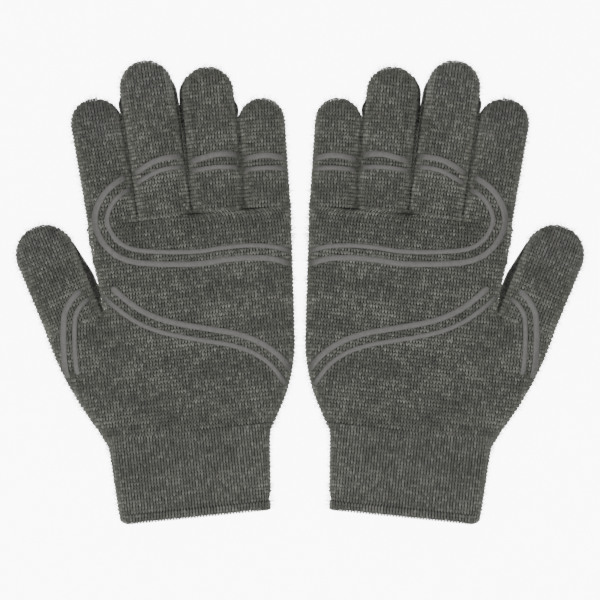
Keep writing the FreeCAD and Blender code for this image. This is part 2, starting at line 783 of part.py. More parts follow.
def main():
    doc = FreeCAD.newDocument("gloves")
    sheet = make_sheet(doc)
    pieces = build(doc, sheet)
    check(doc, pieces)
    os.makedirs("parts", exist_ok=True)
    for name, feature in pieces.items():
        feature.Shape.exportStep("parts/%s.step" % name)
        print(name, len(feature.Shape.Solids), "solid(s)", round(feature.Shape.Volume, 1), "mm3")


main()
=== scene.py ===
# %% [markdown]
# # A pair of knitted touchscreen gloves
# Two winter gloves lie palm up on a table. They are knitted in one go from a heather grey yarn,
# with a ribbed cuff, and lined with a brushed fleece. Wavy grip lines of silicone are printed on
# the palm side. The thumb, index and middle tips are knitted from conductive yarn.
#
# The CAD model gives every place and size. It is made of plain rounded slabs, and this lesson
# dresses it: each slab becomes a soft form, the form gets its knitting, stitch by stitch, and the
# printed lines are laid on top. Lengths in this script are in millimetres until a mesh is made.

# %% Setting up
import math

import bmesh
import bpy
import numpy as np
from mathutils import Matrix, Vector
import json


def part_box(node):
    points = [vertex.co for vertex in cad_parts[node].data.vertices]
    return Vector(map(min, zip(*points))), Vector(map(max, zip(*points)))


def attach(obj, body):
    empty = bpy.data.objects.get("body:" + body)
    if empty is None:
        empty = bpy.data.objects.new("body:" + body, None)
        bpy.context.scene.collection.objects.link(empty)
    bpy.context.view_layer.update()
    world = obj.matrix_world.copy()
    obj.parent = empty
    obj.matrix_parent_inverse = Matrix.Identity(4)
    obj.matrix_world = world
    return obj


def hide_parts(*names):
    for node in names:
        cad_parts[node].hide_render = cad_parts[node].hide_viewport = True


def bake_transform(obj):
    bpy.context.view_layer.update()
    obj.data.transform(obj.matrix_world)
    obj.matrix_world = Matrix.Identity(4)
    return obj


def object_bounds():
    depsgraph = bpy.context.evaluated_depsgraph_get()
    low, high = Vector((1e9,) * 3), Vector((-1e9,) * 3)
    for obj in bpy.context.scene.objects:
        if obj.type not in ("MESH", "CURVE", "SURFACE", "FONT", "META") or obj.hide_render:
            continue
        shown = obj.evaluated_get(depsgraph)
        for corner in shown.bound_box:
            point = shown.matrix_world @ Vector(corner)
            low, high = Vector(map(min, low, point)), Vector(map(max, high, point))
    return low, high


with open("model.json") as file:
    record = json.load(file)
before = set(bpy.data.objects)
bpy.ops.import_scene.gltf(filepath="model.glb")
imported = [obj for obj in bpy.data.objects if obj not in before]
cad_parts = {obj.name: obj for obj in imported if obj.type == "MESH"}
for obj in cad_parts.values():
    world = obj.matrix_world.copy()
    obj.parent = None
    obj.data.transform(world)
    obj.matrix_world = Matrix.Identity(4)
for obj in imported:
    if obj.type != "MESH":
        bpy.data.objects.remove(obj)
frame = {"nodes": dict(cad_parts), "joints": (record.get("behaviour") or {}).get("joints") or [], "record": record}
cad_low, cad_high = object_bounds()
MM = 0.001
print("CAD box in metres:", [round(v, 4) for v in cad_low], [round(v, 4) for v in cad_high])

# %% [markdown]
# ## The layout, read from the CAD model
# A glove folds at the root of each finger, so every hinge in the frame stands at a stall's root
# and its axis runs across the stall. That gives each stall's place and lean. Its width and
# length come from its mesh. Only the left glove is laid out here: the right one is its mirror
# image, as gloves in a pair are.

# %% Stalls of the left glove
FINGERS = ("index", "middle", "ring", "little")
STALLS = ("thumb",) + FINGERS
TOUCH_STALLS = ("thumb", "index", "middle")
JOINTS = {joint["name"]: joint for joint in frame["joints"]}


def node_points(node):
    """A CAD node's corners in millimetres."""
    mesh = frame["nodes"][node].data
    flat = np.empty(len(mesh.vertices) * 3)
    mesh.vertices.foreach_get("co", flat)
    return flat.reshape(-1, 3) / MM


class Lie:
    """A place to measure from: across goes to the right of along."""

    def __init__(self, x, y, lean):
        self.start = np.array([x, y])
        self.across = np.array([math.cos(lean), math.sin(lean)])
        self.along = np.array([-math.sin(lean), math.cos(lean)])

    def place(self, across, along):
        aside = np.multiply.outer(across, self.across)
        return self.start + aside + np.multiply.outer(along, self.along)

    def measure(self, points):
        away = points[..., :2] - self.start
        return away @ self.across, away @ self.along


class Stall:
    """One finger or thumb: where its root lies, and how wide and long it is."""

    def __init__(self, name):
        joint = JOINTS["left_%s_fold" % name]
        x, y = joint["pos_m"][0] / MM, joint["pos_m"][1] / MM
        self.lie = Lie(x, y, math.atan2(joint["axis"][1], joint["axis"][0]))
        points = node_points("left_%s_stall" % name)
        self.tip_start = None
        if name in TOUCH_STALLS:
            tip = node_points("left_%s_touch_tip" % name)
            self.tip_start = self.lie.measure(tip)[1].min()
            points = np.vstack([points, tip])
        across, along = self.lie.measure(points)
        self.half = (across.max() - across.min()) / 2
        self.length = along.max()
        self.reach = self.length - self.half


stalls = {name: Stall(name) for name in STALLS}
for name, stall in stalls.items():
    print(name, "half width %.1f mm, length %.1f mm" % (stall.half, stall.length))

# %% [markdown]
# ## The outline of hand and cuff
# The hand's corners are the ends of the stalls' roots and the two ends of the wrist. Between
# wrist and thumb, and between wrist and heel, the side is a gentle arc.

# %% Outline of the hand and the cuff
THUMB_SIDE_ROUND, HEEL_ROUND = 160.0, 80.0
mounts = {mount["name"]: mount for mount in frame["record"]["mounts"]}
hem_mount = mounts["left_cuff_opening"]
cuff_lean = math.atan2(hem_mount["axis"][0], -hem_mount["axis"][1])
hem_lie = Lie(hem_mount["pos_m"][0] / MM, hem_mount["pos_m"][1] / MM, cuff_lean)
cuff_across, cuff_along = hem_lie.measure(node_points("left_cuff"))
hem_across, hem_along = hem_lie.measure(node_points("left_cuff_hem"))
CUFF_FULL = float(cuff_along.max())
HEM_LENGTH = float(hem_along.max())
at_wrist = cuff_along > CUFF_FULL - 0.2
wrist_left, wrist_right = float(cuff_across[at_wrist].min()), float(cuff_across[at_wrist].max())
hem_half = float(hem_across.max() - hem_across.min()) / 2
W1, W2 = hem_lie.place(wrist_left, CUFF_FULL), hem_lie.place(wrist_right, CUFF_FULL)
wrist_lie = Lie(*(W1 + W2) / 2, cuff_lean)


def arc(start, end, radius, steps=14):
    """Points on the clockwise arc of that radius from start to just before end."""
    chord = end - start
    length = np.hypot(*chord)
    away = np.array([chord[1], -chord[0]]) / length
    centre = (start + end) / 2 + away * math.sqrt(radius**2 - (length / 2) ** 2)
    first = math.atan2(*(start - centre)[::-1])
    turn = 2 * math.asin(length / 2 / radius)
    angles = first - turn * np.arange(steps) / steps
    return centre + radius * np.stack([np.cos(angles), np.sin(angles)], axis=1)


thumb_outer = stalls["thumb"].lie.place(-stalls["thumb"].half - 0.2, 0.0)
thumb_crotch = stalls["thumb"].lie.place(stalls["thumb"].half + 0.4, 0.0)
knuckles = [stalls[name].lie.place(-stalls[name].half - 0.2, 0.0) for name in FINGERS]
knuckles.append(stalls["little"].lie.place(stalls["little"].half + 0.2, 0.0))
hand_points = node_points("left_hand")
outer_side = hand_points[hand_points[:, 0] > hand_points[:, 0].max() - 0.05]
heel = np.array([hand_points[:, 0].max(), outer_side[:, 1].min()])
hand_outline = np.vstack(
    [
        arc(W1, thumb_outer, THUMB_SIDE_ROUND),
        [thumb_outer, thumb_crotch],
        knuckles,
        arc(heel, W2, HEEL_ROUND),
        [W2],
    ]
)
PAST_HEM = 20.0  # the outline runs on past the hem, so that the mouth keeps its full height
taper = (wrist_right - wrist_left - 2 * hem_half) / 2 / CUFF_FULL
hem_middle = float(hem_across.max() + hem_across.min()) / 2
cuff_outline = np.array(
    [
        hem_lie.place(hem_middle - hem_half + taper * PAST_HEM, -PAST_HEM),
        W1 + wrist_lie.along * 12,
        W2 + wrist_lie.along * 12,
        hem_lie.place(hem_middle + hem_half - taper * PAST_HEM, -PAST_HEM),
    ]
)
print("hand outline has", len(hand_outline), "corners; cuff", round(CUFF_FULL, 1), "mm long")

# %% [markdown]
# ## How deep inside the outline?
# A flat glove is thin at its edges and full in the middle, so its height at any spot follows
# from how far inside the outline that spot is. A distance function gives that number: for a
# polygon it is the distance to the nearest side, and for a stall the distance to its middle
# line, taken from its half width. Parts are joined with a soft maximum, which leaves a groove
# between two fingers that fades out in the palm, as the real crotch does.


# %% Distance functions
def polygon_depth(outline, points):
    """How far inside the outline each point is, in mm; negative outside."""
    flat = points.reshape(-1, 2)
    start, end = outline, np.roll(outline, -1, axis=0)
    side = end - start
    away = flat[:, None, :] - start[None]
    share = np.clip((away * side).sum(2) / (side**2).sum(1), 0, 1)
    gap = np.hypot(*np.moveaxis(away - share[..., None] * side, 2, 0)).min(1)
    x, y = flat[:, None, 0], flat[:, None, 1]
    crosses = (start[:, 1] > y) != (end[:, 1] > y)
    rise = np.where(side[:, 1] == 0, 1e-9, side[:, 1])
    left_of = x < start[:, 0] + (y - start[:, 1]) * side[:, 0] / rise
    inside = (crosses & left_of).sum(1) % 2 == 1
    return np.where(inside, gap, -gap).reshape(points.shape[:-1])


def stall_depth(stall, points, low=-16.0):
    """How far inside a stall each point is. The stall counts from low upwards."""
    across, along = stall.lie.measure(points)
    return stall.half - np.hypot(across, along - np.clip(along, low, stall.reach))


NEIGHBOURS = {
    "index": (("middle", 1),),
    "middle": (("index", -1), ("ring", 1)),
    "ring": (("middle", -1), ("little", 1)),
    "little": (("ring", -1),),
}


STATIONS = 80
FINGER_SPREAD, THUMB_SPREAD = (0.5, 2.2), (1.0, 3.4)  # share of the gap, and most in mm


def stall_reach(name):
    """A stall's outline at the table. The lower half of a stuffed finger spreads until it
    meets its neighbour, which closes the gap between them; so does the thumb towards the palm."""
    stall = stalls[name]
    along_at = np.linspace(-20, stall.length + 6, STATIONS)
    wider = {-1: np.zeros(STATIONS), 1: np.zeros(STATIONS)}
    for other, side in NEIGHBOURS.get(name, (("palm", 1),)):
        at = stall.lie.place(np.full(STATIONS, side * stall.half), along_at)
        if other == "palm":
            gap, (share, most) = -polygon_depth(hand_outline, at), THUMB_SPREAD
        else:
            gap, (share, most) = -stall_depth(stalls[other], at), FINGER_SPREAD
        fade = np.clip((2.6 * most - gap) / (1.2 * most), 0, 1)
        fade = fade * np.clip((stall.length - along_at) / 12, 0, 1) * (along_at > -4)
        wider[side] = np.clip(gap * share + 0.1, 0, most) * fade

    def reach(points):
        across, along = stall.lie.measure(points)
        left, right = (np.interp(along, along_at, wider[side]) for side in (-1, 1))
        return stall_depth(stall, points, low=-60.0) + np.where(across > 0, right, left)

    return reach


SOFT, WRIST_SOFT = 0.8, 2.0


def soft_max(depths):
    """The greatest depth, with the corner between any two rounded off."""
    stack = np.stack(depths)
    best = stack.max(0)
    return best + SOFT * np.log(np.exp((stack - best) / SOFT).sum(0))


def body_depth(points):
    """Depth in hand and cuff together, with a soft bend at the wrist's two corners."""
    hand, cuff = polygon_depth(hand_outline, points), polygon_depth(cuff_outline, points)
    more = WRIST_SOFT * np.log1p(np.exp(-np.abs(hand - cuff) / WRIST_SOFT))
    return np.maximum(hand, cuff) + more


def glove_depth(points):
    """Depth in the whole glove. One function for every piece, so that their edges meet."""
    fingers = [stall_depth(stall, points) for stall in stalls.values()]
    return soft_max([body_depth(points)] + fingers)


def wide_depth(name):
    """Depth in the glove with one stall's lower half spread."""
    reach = stall_reach(name)
    return lambda points: np.maximum(glove_depth(points), reach(points))


# %% [markdown]
# ## The soft form
# The upper face swells from the edge to its full height over about 10 mm, and the lower face,
# which lies on the table, does so more quickly. The cuff lies a little lower than the hand.

# %% Heights of the two faces
FULL_TOP = cad_high[2] / MM - 0.8
CUFF_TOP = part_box("left_cuff")[1][2] / MM
MID = 6.6  # where the two faces meet at the side
TOP_SWELL, BACK_SWELL = 10.5, 7.5
STEP_AT_WRIST = 8.0  # the height changes from this far below the wrist to as far above it
YARN = 0.62  # how deep the stitches' form lies inside the glove's outer face


def swell(depth, over):
    """0 at the edge and 1 from that depth on, along a quarter of a circle."""
    share = np.clip(depth / over, 0, 1)
    return np.sqrt(1 - (1 - share) ** 2)


def top_height(depth, points, inset):
    along = wrist_lie.measure(points)[1]
    rise = np.clip((along + STEP_AT_WRIST) / (2 * STEP_AT_WRIST), 0, 1)
    full = CUFF_TOP + (FULL_TOP - CUFF_TOP) * rise * rise * (3 - 2 * rise)
    return MID + (full - inset - MID) * swell(depth - inset, TOP_SWELL - inset * 0.5)


def back_height(depth, points, inset):
    return MID - (MID - inset) * swell(depth - inset, BACK_SWELL - inset * 0.5)


# %% [markdown]
# ## Cutting the fabric
# Knitting is a regular grid of stitches: wales run along the finger and courses run across it.
# To keep the stitches the same size everywhere, each row of fabric is laid out by walking over
# the form in steps of equal fabric length. Where the walk reaches the edge it turns down, so
# that the upper and lower faces meet at the side. The result is a grid mesh whose UV map is the
# flat fabric. It isn't shown: it only carries the stitches.


# %% Laying fabric over the form
FINE_STEPS, PROBE = 5, 0.02
TURN_DOWN = 1.15  # how far the fabric goes on past the edge
STRETCH_ALONG, STRETCH_ACROSS = 1.8, 2.0  # a stitch stretched more than this is left out


def lay_rows(starts, direction, step, count, depth, height, reach):
    """Walks count steps of fabric from each start, as far as the reach function is positive.
    Returns the places (x, y, z) and how far each has turned down past the edge."""
    spot, fallen = starts.copy(), np.zeros(len(starts))
    places, falls = [], []
    sign = -1.0 if height is top_height else 1.0

    def level(points):
        return height(depth(points), points, YARN)

    for _ in range(count + 1):
        places.append(np.column_stack([spot, level(spot) + sign * fallen]))
        falls.append(fallen.copy())
        for _ in range(FINE_STEPS):
            rise = level(spot + direction * PROBE) - level(spot - direction * PROBE)
            slope = rise / (2 * PROBE)
            onward = spot + direction * (step / FINE_STEPS / np.sqrt(1 + slope**2))[:, None]
            goes = (reach(onward) - YARN > 0.03) & (fallen == 0)
            spot = np.where(goes[:, None], onward, spot)
            fallen = np.where(goes, 0.0, fallen + step / FINE_STEPS)
    return np.array(places), np.array(falls)


def fabric(lie, depth, height, lengthwise, wale, course, columns, keep, reach=None):
    """The grid for one sheet of fabric. lengthwise is (low, high) along the lie, and columns
    counts half stitches. keep says which places carry a stitch. reach is the depth function
    that ends the rows, where it isn't the one that gives the heights."""
    low, high = lengthwise
    start, forms = lie.start[None], (depth, height, reach or depth)
    rows_down = int(round(-low / (course / 2)))
    rows_up = int(math.ceil(high / (course / 2)))
    up, up_fall = lay_rows(start, lie.along, course / 2, rows_up, *forms)
    down, _ = lay_rows(start, -lie.along, course / 2, rows_down, *forms)
    starts = np.vstack([down[:0:-1, 0, :2], up[:, 0, :2]])
    extra = np.concatenate([np.zeros(rows_down), up_fall[:, 0]])
    right, right_fall = lay_rows(starts, lie.across, wale / 2, columns, *forms)
    left, left_fall = lay_rows(starts, -lie.across, wale / 2, columns, *forms)
    places = np.concatenate([left[:0:-1], right]).transpose(1, 0, 2)
    falls = np.concatenate([left_fall[:0:-1], right_fall]).transpose(1, 0) + extra[:, None]
    places[..., 2] += (-1.0 if height is top_height else 1.0) * extra[:, None]
    even = np.ones(falls.shape, bool)
    close = np.linalg.norm(np.diff(places, axis=0), axis=2) < STRETCH_ALONG * course
    even[1:] &= close
    even[:-1] &= close
    close = np.linalg.norm(np.diff(places, axis=1), axis=2) < STRETCH_ACROSS * wale
    even[:, 1:] &= close
    even[:, :-1] &= close
    return places, keep(places) & (falls < TURN_DOWN) & even


def former_mesh(name, places, kept, flip):
    """Makes the grid mesh that carries the stitches, with its flat fabric as a UV map."""
    rows, columns = places.shape[:2]
    index = np.arange(rows * columns).reshape(rows, columns)
    a, b = index[:-1, :-1].ravel(), index[:-1, 1:].ravel()
    c, d = index[1:, 1:].ravel(), index[1:, :-1].ravel()
    quads = np.stack([a, d, c, b] if flip else [a, b, c, d], axis=1)
    mesh = bpy.data.meshes.new(name)
    mesh.from_pydata((places.reshape(-1, 3) * MM).tolist(), [], quads.tolist())
    flat_u = np.tile(np.linspace(0, 1, columns), rows)
    flat_v = np.repeat(np.linspace(0, 1, rows), columns)
    corners = quads.ravel()
    layer = mesh.uv_layers.new(name="Flat")
    layer.data.foreach_set("uv", np.stack([flat_u[corners], flat_v[corners]], axis=1).ravel())
    carries = mesh.attributes.new("carries", "FLOAT", "POINT")
    carries.data.foreach_set("value", kept.ravel().astype(float))
    return bpy.data.objects.new(name, mesh)


# %% [markdown]
# ## One stitch
# The front of a jersey knit shows each stitch as a V: two legs of yarn that lean apart as they
# rise, and slip under the stitch above. A leg is modelled as a grain shape with three sides and
# pointed ends, which is enough at this size, because there are tens of thousands of them.


# %% The stitch
def finished(bm, name):
    """A plain mesh of what was modelled, with its faces outwards and smooth."""
    bmesh.ops.recalc_face_normals(bm, faces=bm.faces)
    for face in bm.faces:
        face.smooth = True
    mesh = bpy.data.meshes.new(name)
    bm.to_mesh(mesh)
    bm.free()
    return mesh


def stitch_object(name, line):
    """Two mirrored legs. line holds (x, y, z, thickness across, thickness in height)."""
    bm = bmesh.new()
    for side in (-1, 1):
        rings = []
        for x, y, z, wide, high in line[1:-1]:
            ring = [(wide, -0.4 * high), (0, high), (-wide, -0.4 * high)]
            rings.append([bm.verts.new(((x + dx) * side, y, z + dz)) for dx, dz in ring])
        first, last = line[0], line[-1]
        bottom = bm.verts.new((first[0] * side, first[1], first[2]))
        top = bm.verts.new((last[0] * side, last[1], last[2]))
        for k in range(3):
            after = (k + 1) % 3
            bm.faces.new((bottom, rings[0][k], rings[0][after]))
            bm.faces.new((top, rings[-1][after], rings[-1][k]))
            for lower, upper in zip(rings, rings[1:]):
                bm.faces.new((lower[k], upper[k], upper[after], lower[after]))
    mesh = finished(bm, name)
    mesh.transform(Matrix.Scale(MM, 4))
    return bpy.data.objects.new(name, mesh)


JERSEY_LINE = (
    (0.10, -1.26, -0.28, 0, 0),
    (0.22, -0.66, 0.16, 0.25, 0.36),
    (0.36, 0.10, 0.29, 0.31, 0.42),
    (0.45, 0.76, 0.13, 0.26, 0.34),
    (0.43, 1.30, -0.28, 0, 0),
)
RIB_LINE = (
    (0.10, -1.18, -0.26, 0, 0),
    (0.20, -0.62, 0.18, 0.25, 0.34),
    (0.31, 0.10, 0.30, 0.29, 0.38),
    (0.38, 0.72, 0.14, 0.25, 0.32),
    (0.36, 1.22, -0.26, 0, 0),
)
jersey_stitch = stitch_object("jersey_stitch", JERSEY_LINE)
rib_stitch = stitch_object("rib_stitch", RIB_LINE)
print("a stitch has", len(jersey_stitch.data.polygons), "faces")

# %% [markdown]
# ## Finishes
# Heather grey yarn is spun from light and dark fibres, so its tone drifts along the yarn. That
# shows as short pale and dark streaks across the knitting. Each stitch therefore carries a
# tone of its own, and the yarn's material turns it into a colour.


# %% Colours and a node helper
def linear(hex_colour):
    """An sRGB hex colour as linear red, green, blue and alpha."""
    parts = [int(hex_colour[k : k + 2], 16) / 255 for k in (0, 2, 4)]
    return [c / 12.92 if c <= 0.04045 else ((c + 0.055) / 1.055) ** 2.4 for c in parts] + [1.0]


def add_node(tree, kind, settings=(), values=(), links=()):
    """Adds a node, sets its properties and input values, and links inputs to other outputs."""
    node = tree.nodes.new(kind)
    for key, value in dict(settings).items():
        setattr(node, key, value)
    for key, value in dict(values).items():
        node.inputs[key].default_value = value
    for key, source in dict(links).items():
        tree.links.new(source, node.inputs[key])
    return node


def object_noise(tree, patch, detail, roughness=0.5):
    """Noise in the object's own space, in patches of that size in mm."""
    return add_node(
        tree,
        "ShaderNodeTexNoise",
        values={"Scale": 1 / (patch * MM), "Detail": detail, "Roughness": roughness},
        links={"Vector": add_node(tree, "ShaderNodeTexCoord").outputs["Object"]},
    ).outputs["Fac"]


def new_material(name, **shader):
    """A material whose Principled shader has the given constant inputs."""
    material = bpy.data.materials.new(name)
    material.use_nodes = True
    principled = material.node_tree.nodes["Principled BSDF"]
    for key, value in shader.items():
        principled.inputs[key.replace("_", " ")].default_value = value
    return material, material.node_tree, principled


# %% [markdown]
# Heather yarn, spun from acrylic and wool: matt, with a faint sheen from loose fibres.


# %% Yarn
def yarn_material(name, dark, middle, light, roughness):
    material, tree, principled = new_material(
        name, Roughness=roughness, Sheen_Weight=0.18, Sheen_Roughness=0.5, IOR=1.5
    )
    tone = add_node(tree, "ShaderNodeAttribute", {"attribute_name": "tone"})
    # Single fibres are 0.02 mm thick; tufts of them, about 0.9 mm apart, are what the eye sees.
    tufts = object_noise(tree, 0.9, 2.0, 0.6)
    mixed = add_node(
        tree, "ShaderNodeMath", {"operation": "MULTIPLY_ADD"}, {1: 0.9, 2: -0.45}, {0: tufts}
    ).outputs[0]
    total = add_node(
        tree,
        "ShaderNodeMath",
        {"operation": "ADD"},
        links={0: mixed, 1: tone.outputs["Fac"]},
    )
    ramp = add_node(tree, "ShaderNodeValToRGB", links={"Fac": total.outputs[0]})
    elements = ramp.color_ramp.elements
    elements[0].position, elements[0].color = 0.0, linear(dark)
    elements[1].position, elements[1].color = 1.0, linear(light)
    elements.new(0.5).color = linear(middle)
    tree.links.new(ramp.outputs["Color"], principled.inputs["Base Color"])
    return material


heather_yarn = yarn_material("heather_yarn", "4B4C48", "797A71", "B6B7AD", 0.85)
rib_yarn = yarn_material("heather_rib_yarn", "4E4F4A", "797A72", "AFB0A7", 0.88)
conductive_yarn = yarn_material("conductive_yarn", "4B4C49", "7A7A74", "B8B8B1", 0.7)

# %% [markdown]
# The other finishes drift between two tones: the yarn behind the stitches, whose dark grey is
# painted shade, the brushed fleece of the lining, which is deep and soft, and the printed
# silicone, which is satin.


# %% Fabric, fleece and silicone
def mottled_material(name, dark, light, patch, detail, roughness=0.5, **shader):
    """A finish that drifts between two tones in patches of that size in mm. Also returns a
    function that gives it a bump, of the same patches unless own_patch is given."""
    material, tree, principled = new_material(name, **shader)
    noise = object_noise(tree, patch, detail, roughness)
    ramp = add_node(tree, "ShaderNodeValToRGB", links={"Fac": noise})
    for element, colour in zip(ramp.color_ramp.elements, (dark, light)):
        element.color = linear(colour)
    tree.links.new(ramp.outputs["Color"], principled.inputs["Base Color"])

    def bump(strength, distance, own_patch=None):
        height = noise if own_patch is None else object_noise(tree, own_patch, 1.0)
        values = {"Strength": strength, "Distance": distance * MM}
        node = add_node(tree, "ShaderNodeBump", values=values, links={"Height": height})
        tree.links.new(node.outputs["Normal"], principled.inputs["Normal"])

    return material, bump


# The yarn behind the stitches is the same heather yarn: these near-black greys are painted shade.
ground_painted_shade, _ = mottled_material(
    "yarn_shadow_fabric",
    "242423",
    "3C3B39",
    1.5,
    2.0,
    Base_Color=linear("2E2E2C"),
    Roughness=0.95,
)
fleece, fleece_bump = mottled_material(
    "brushed_fleece",
    "4F4F4D",
    "8B8A87",
    1.1,
    4.0,
    0.7,
    Roughness=0.95,
    Sheen_Weight=0.35,
    Sheen_Roughness=0.6,
)
fleece_bump(0.6, 0.4)
silicone, silicone_bump = mottled_material(
    "printed_silicone", "5B5A58", "757472", 1.6, 3.0, Roughness=0.5, IOR=1.41
)
silicone_bump(0.5, 0.25, own_patch=1.2)

# %% Covered elastic
covered_elastic, _, _ = new_material("covered_elastic", Base_Color=linear("3A3A3A"), Roughness=0.8)

# %% [markdown]
# ## Knitting with Geometry Nodes
# The tree knits flat: it sets one stitch on every point of a grid, turns each a little, and
# then moves every corner of every stitch to its place on the form, which it finds by the
# form's UV map. Stitches that fall outside the sheet are dropped before they are made.


# %% Building and running a tree
def geometry_tree(name, inputs, output):
    """A new tree with named inputs, and the outputs of its input node."""
    tree = bpy.data.node_groups.new(name, "GeometryNodeTree")
    for label, kind in inputs:
        tree.interface.new_socket(label, in_out="INPUT", socket_type="NodeSocket" + kind)
    tree.interface.new_socket(output, in_out="OUTPUT", socket_type="NodeSocketGeometry")
    return tree, add_node(tree, "NodeGroupInput").outputs


def random_value(tree, kind, low, high, seed):
    values = {"Min": low, "Max": high}
    settings, links = {"data_type": kind}, {"Seed": seed}
    return add_node(tree, "FunctionNodeRandomValue", settings, values, links).outputs["Value"]


def run_tree(form, tree, values):
    """The plain mesh that the tree makes of the form. The form itself is removed."""
    bpy.context.scene.collection.objects.link(form)
    modifier = form.modifiers.new(tree.name, "NODES")
    modifier.node_group = tree
    for item in tree.interface.items_tree:
        if item.item_type == "SOCKET" and item.in_out == "INPUT" and item.name in values:
            modifier[item.identifier] = values[item.name]
    graph = bpy.context.evaluated_depsgraph_get()
    mesh = bpy.data.meshes.new_from_object(form.evaluated_get(graph), depsgraph=graph)
    bpy.data.objects.remove(form)
    return mesh


# %% The knitting tree
def knitting_tree():
    sockets = (
        ("Form", "Geometry"),
        ("Stitch", "Object"),
        ("Wale", "Float"),
        ("Course", "Float"),
        ("Columns", "Int"),
        ("Rows", "Int"),
        ("Fabric Width", "Float"),
        ("Fabric Length", "Float"),
        ("Row Shift", "Float"),
        ("Seed", "Int"),
        ("Yarn", "Material"),
    )
    tree, given = geometry_tree("knit_over_form", sockets, "Knitting")

    def math_node(operation, a, b):
        node = add_node(tree, "ShaderNodeMath", {"operation": operation})
        for slot, value in ((0, a), (1, b)):
            if isinstance(value, (int, float)):
                node.inputs[slot].default_value = value
            else:
                tree.links.new(value, node.inputs[slot])
        return node.outputs[0]

    def flat_uv(position):
        """Where a flat position lies on the sheet, as a share of its width and length."""
        parts = add_node(tree, "ShaderNodeSeparateXYZ", links={0: position}).outputs
        u = math_node("ADD", math_node("DIVIDE", parts["X"], given["Fabric Width"]), 0.5)
        v = math_node("ADD", math_node("DIVIDE", parts["Y"], given["Fabric Length"]), 0.5)
        return add_node(tree, "ShaderNodeCombineXYZ", links={"X": u, "Y": v}).outputs[0], parts

    flat_map = add_node(
        tree, "GeometryNodeInputNamedAttribute", {"data_type": "FLOAT_VECTOR"}, {"Name": "Flat"}
    ).outputs["Attribute"]

    def sample(kind, value, uv):
        node = add_node(tree, "GeometryNodeSampleUVSurface", {"data_type": kind})
        tree.links.new(given["Form"], node.inputs["Mesh"])
        tree.links.new(value, node.inputs["Value"])
        tree.links.new(flat_map, node.inputs["Source UV Map"])
        tree.links.new(uv, node.inputs["Sample UV"])
        return node.outputs["Value"]

    width = math_node("MULTIPLY", math_node("SUBTRACT", given["Columns"], 1.0), given["Wale"])
    length = math_node("MULTIPLY", math_node("SUBTRACT", given["Rows"], 1.0), given["Course"])
    grid = add_node(
        tree,
        "GeometryNodeMeshGrid",
        links={
            "Size X": width,
            "Size Y": length,
            "Vertices X": given["Columns"],
            "Vertices Y": given["Rows"],
        },
    ).outputs["Mesh"]
    shift = add_node(tree, "ShaderNodeCombineXYZ", links={"Y": given["Row Shift"]}).outputs[0]
    grid = add_node(
        tree, "GeometryNodeSetPosition", links={"Geometry": grid, "Offset": shift}
    ).outputs["Geometry"]
    here = add_node(tree, "GeometryNodeInputPosition").outputs[0]
    grid_uv, _ = flat_uv(here)
    carries = add_node(
        tree, "GeometryNodeInputNamedAttribute", {"data_type": "FLOAT"}, {"Name": "carries"}
    ).outputs["Attribute"]
    empty = math_node("LESS_THAN", sample("FLOAT", carries, grid_uv), 0.5)
    grid = add_node(
        tree,
        "GeometryNodeDeleteGeometry",
        {"domain": "POINT"},
        links={"Geometry": grid, "Selection": empty},
    ).outputs[0]

    # The tone drifts slowly along a course and jumps from one course to the next, with a
    # broader drift over the whole glove.
    parts = add_node(tree, "ShaderNodeSeparateXYZ", links={0: here}).outputs
    seed_shift = math_node("MULTIPLY", given["Seed"], 0.731)

    def tone_noise(length, height, shift, detail):
        """Noise in patches of that length along a course and height across courses, in mm."""
        at = add_node(
            tree,
            "ShaderNodeCombineXYZ",
            links={
                "X": math_node("MULTIPLY", parts["X"], 1 / (length * MM)),
                "Y": math_node("MULTIPLY", parts["Y"], 1 / (height * MM)),
                "Z": shift,
            },
        ).outputs[0]
        values = {"Scale": 1.0, "Detail": detail}
        return add_node(tree, "ShaderNodeTexNoise", values=values, links={"Vector": at}).outputs[0]

    streak = tone_noise(5, 3.2, seed_shift, 2.0)
    broad = tone_noise(26, 13, math_node("ADD", seed_shift, 17.3), 1.0)
    single = random_value(tree, "FLOAT", -0.19, 0.19, given["Seed"])
    drift = math_node("ADD", math_node("MULTIPLY", streak, 0.5), math_node("MULTIPLY", broad, 0.6))
    tone = math_node("SUBTRACT", math_node("ADD", drift, single), 0.05)
    grid = add_node(
        tree,
        "GeometryNodeStoreNamedAttribute",
        {"data_type": "FLOAT", "domain": "POINT"},
        {"Name": "tone"},
        {"Geometry": grid, "Value": tone},
    ).outputs[0]

    most_turn, vector = (0.07, 0.09, 0.16), "FLOAT_VECTOR"
    least_turn = tuple(-angle for angle in most_turn)
    turn = random_value(tree, vector, least_turn, most_turn, given["Seed"])
    size = random_value(tree, vector, (0.84, 0.92, 0.75), (1.06, 1.05, 1.2), given["Seed"])
    stitch = add_node(tree, "GeometryNodeObjectInfo", links={"Object": given["Stitch"]})
    knitted = add_node(
        tree,
        "GeometryNodeInstanceOnPoints",
        links={
            "Points": grid,
            "Instance": stitch.outputs["Geometry"],
            "Rotation": turn,
            "Scale": size,
        },
    ).outputs["Instances"]
    knitted = add_node(tree, "GeometryNodeRealizeInstances", links={"Geometry": knitted}).outputs[0]

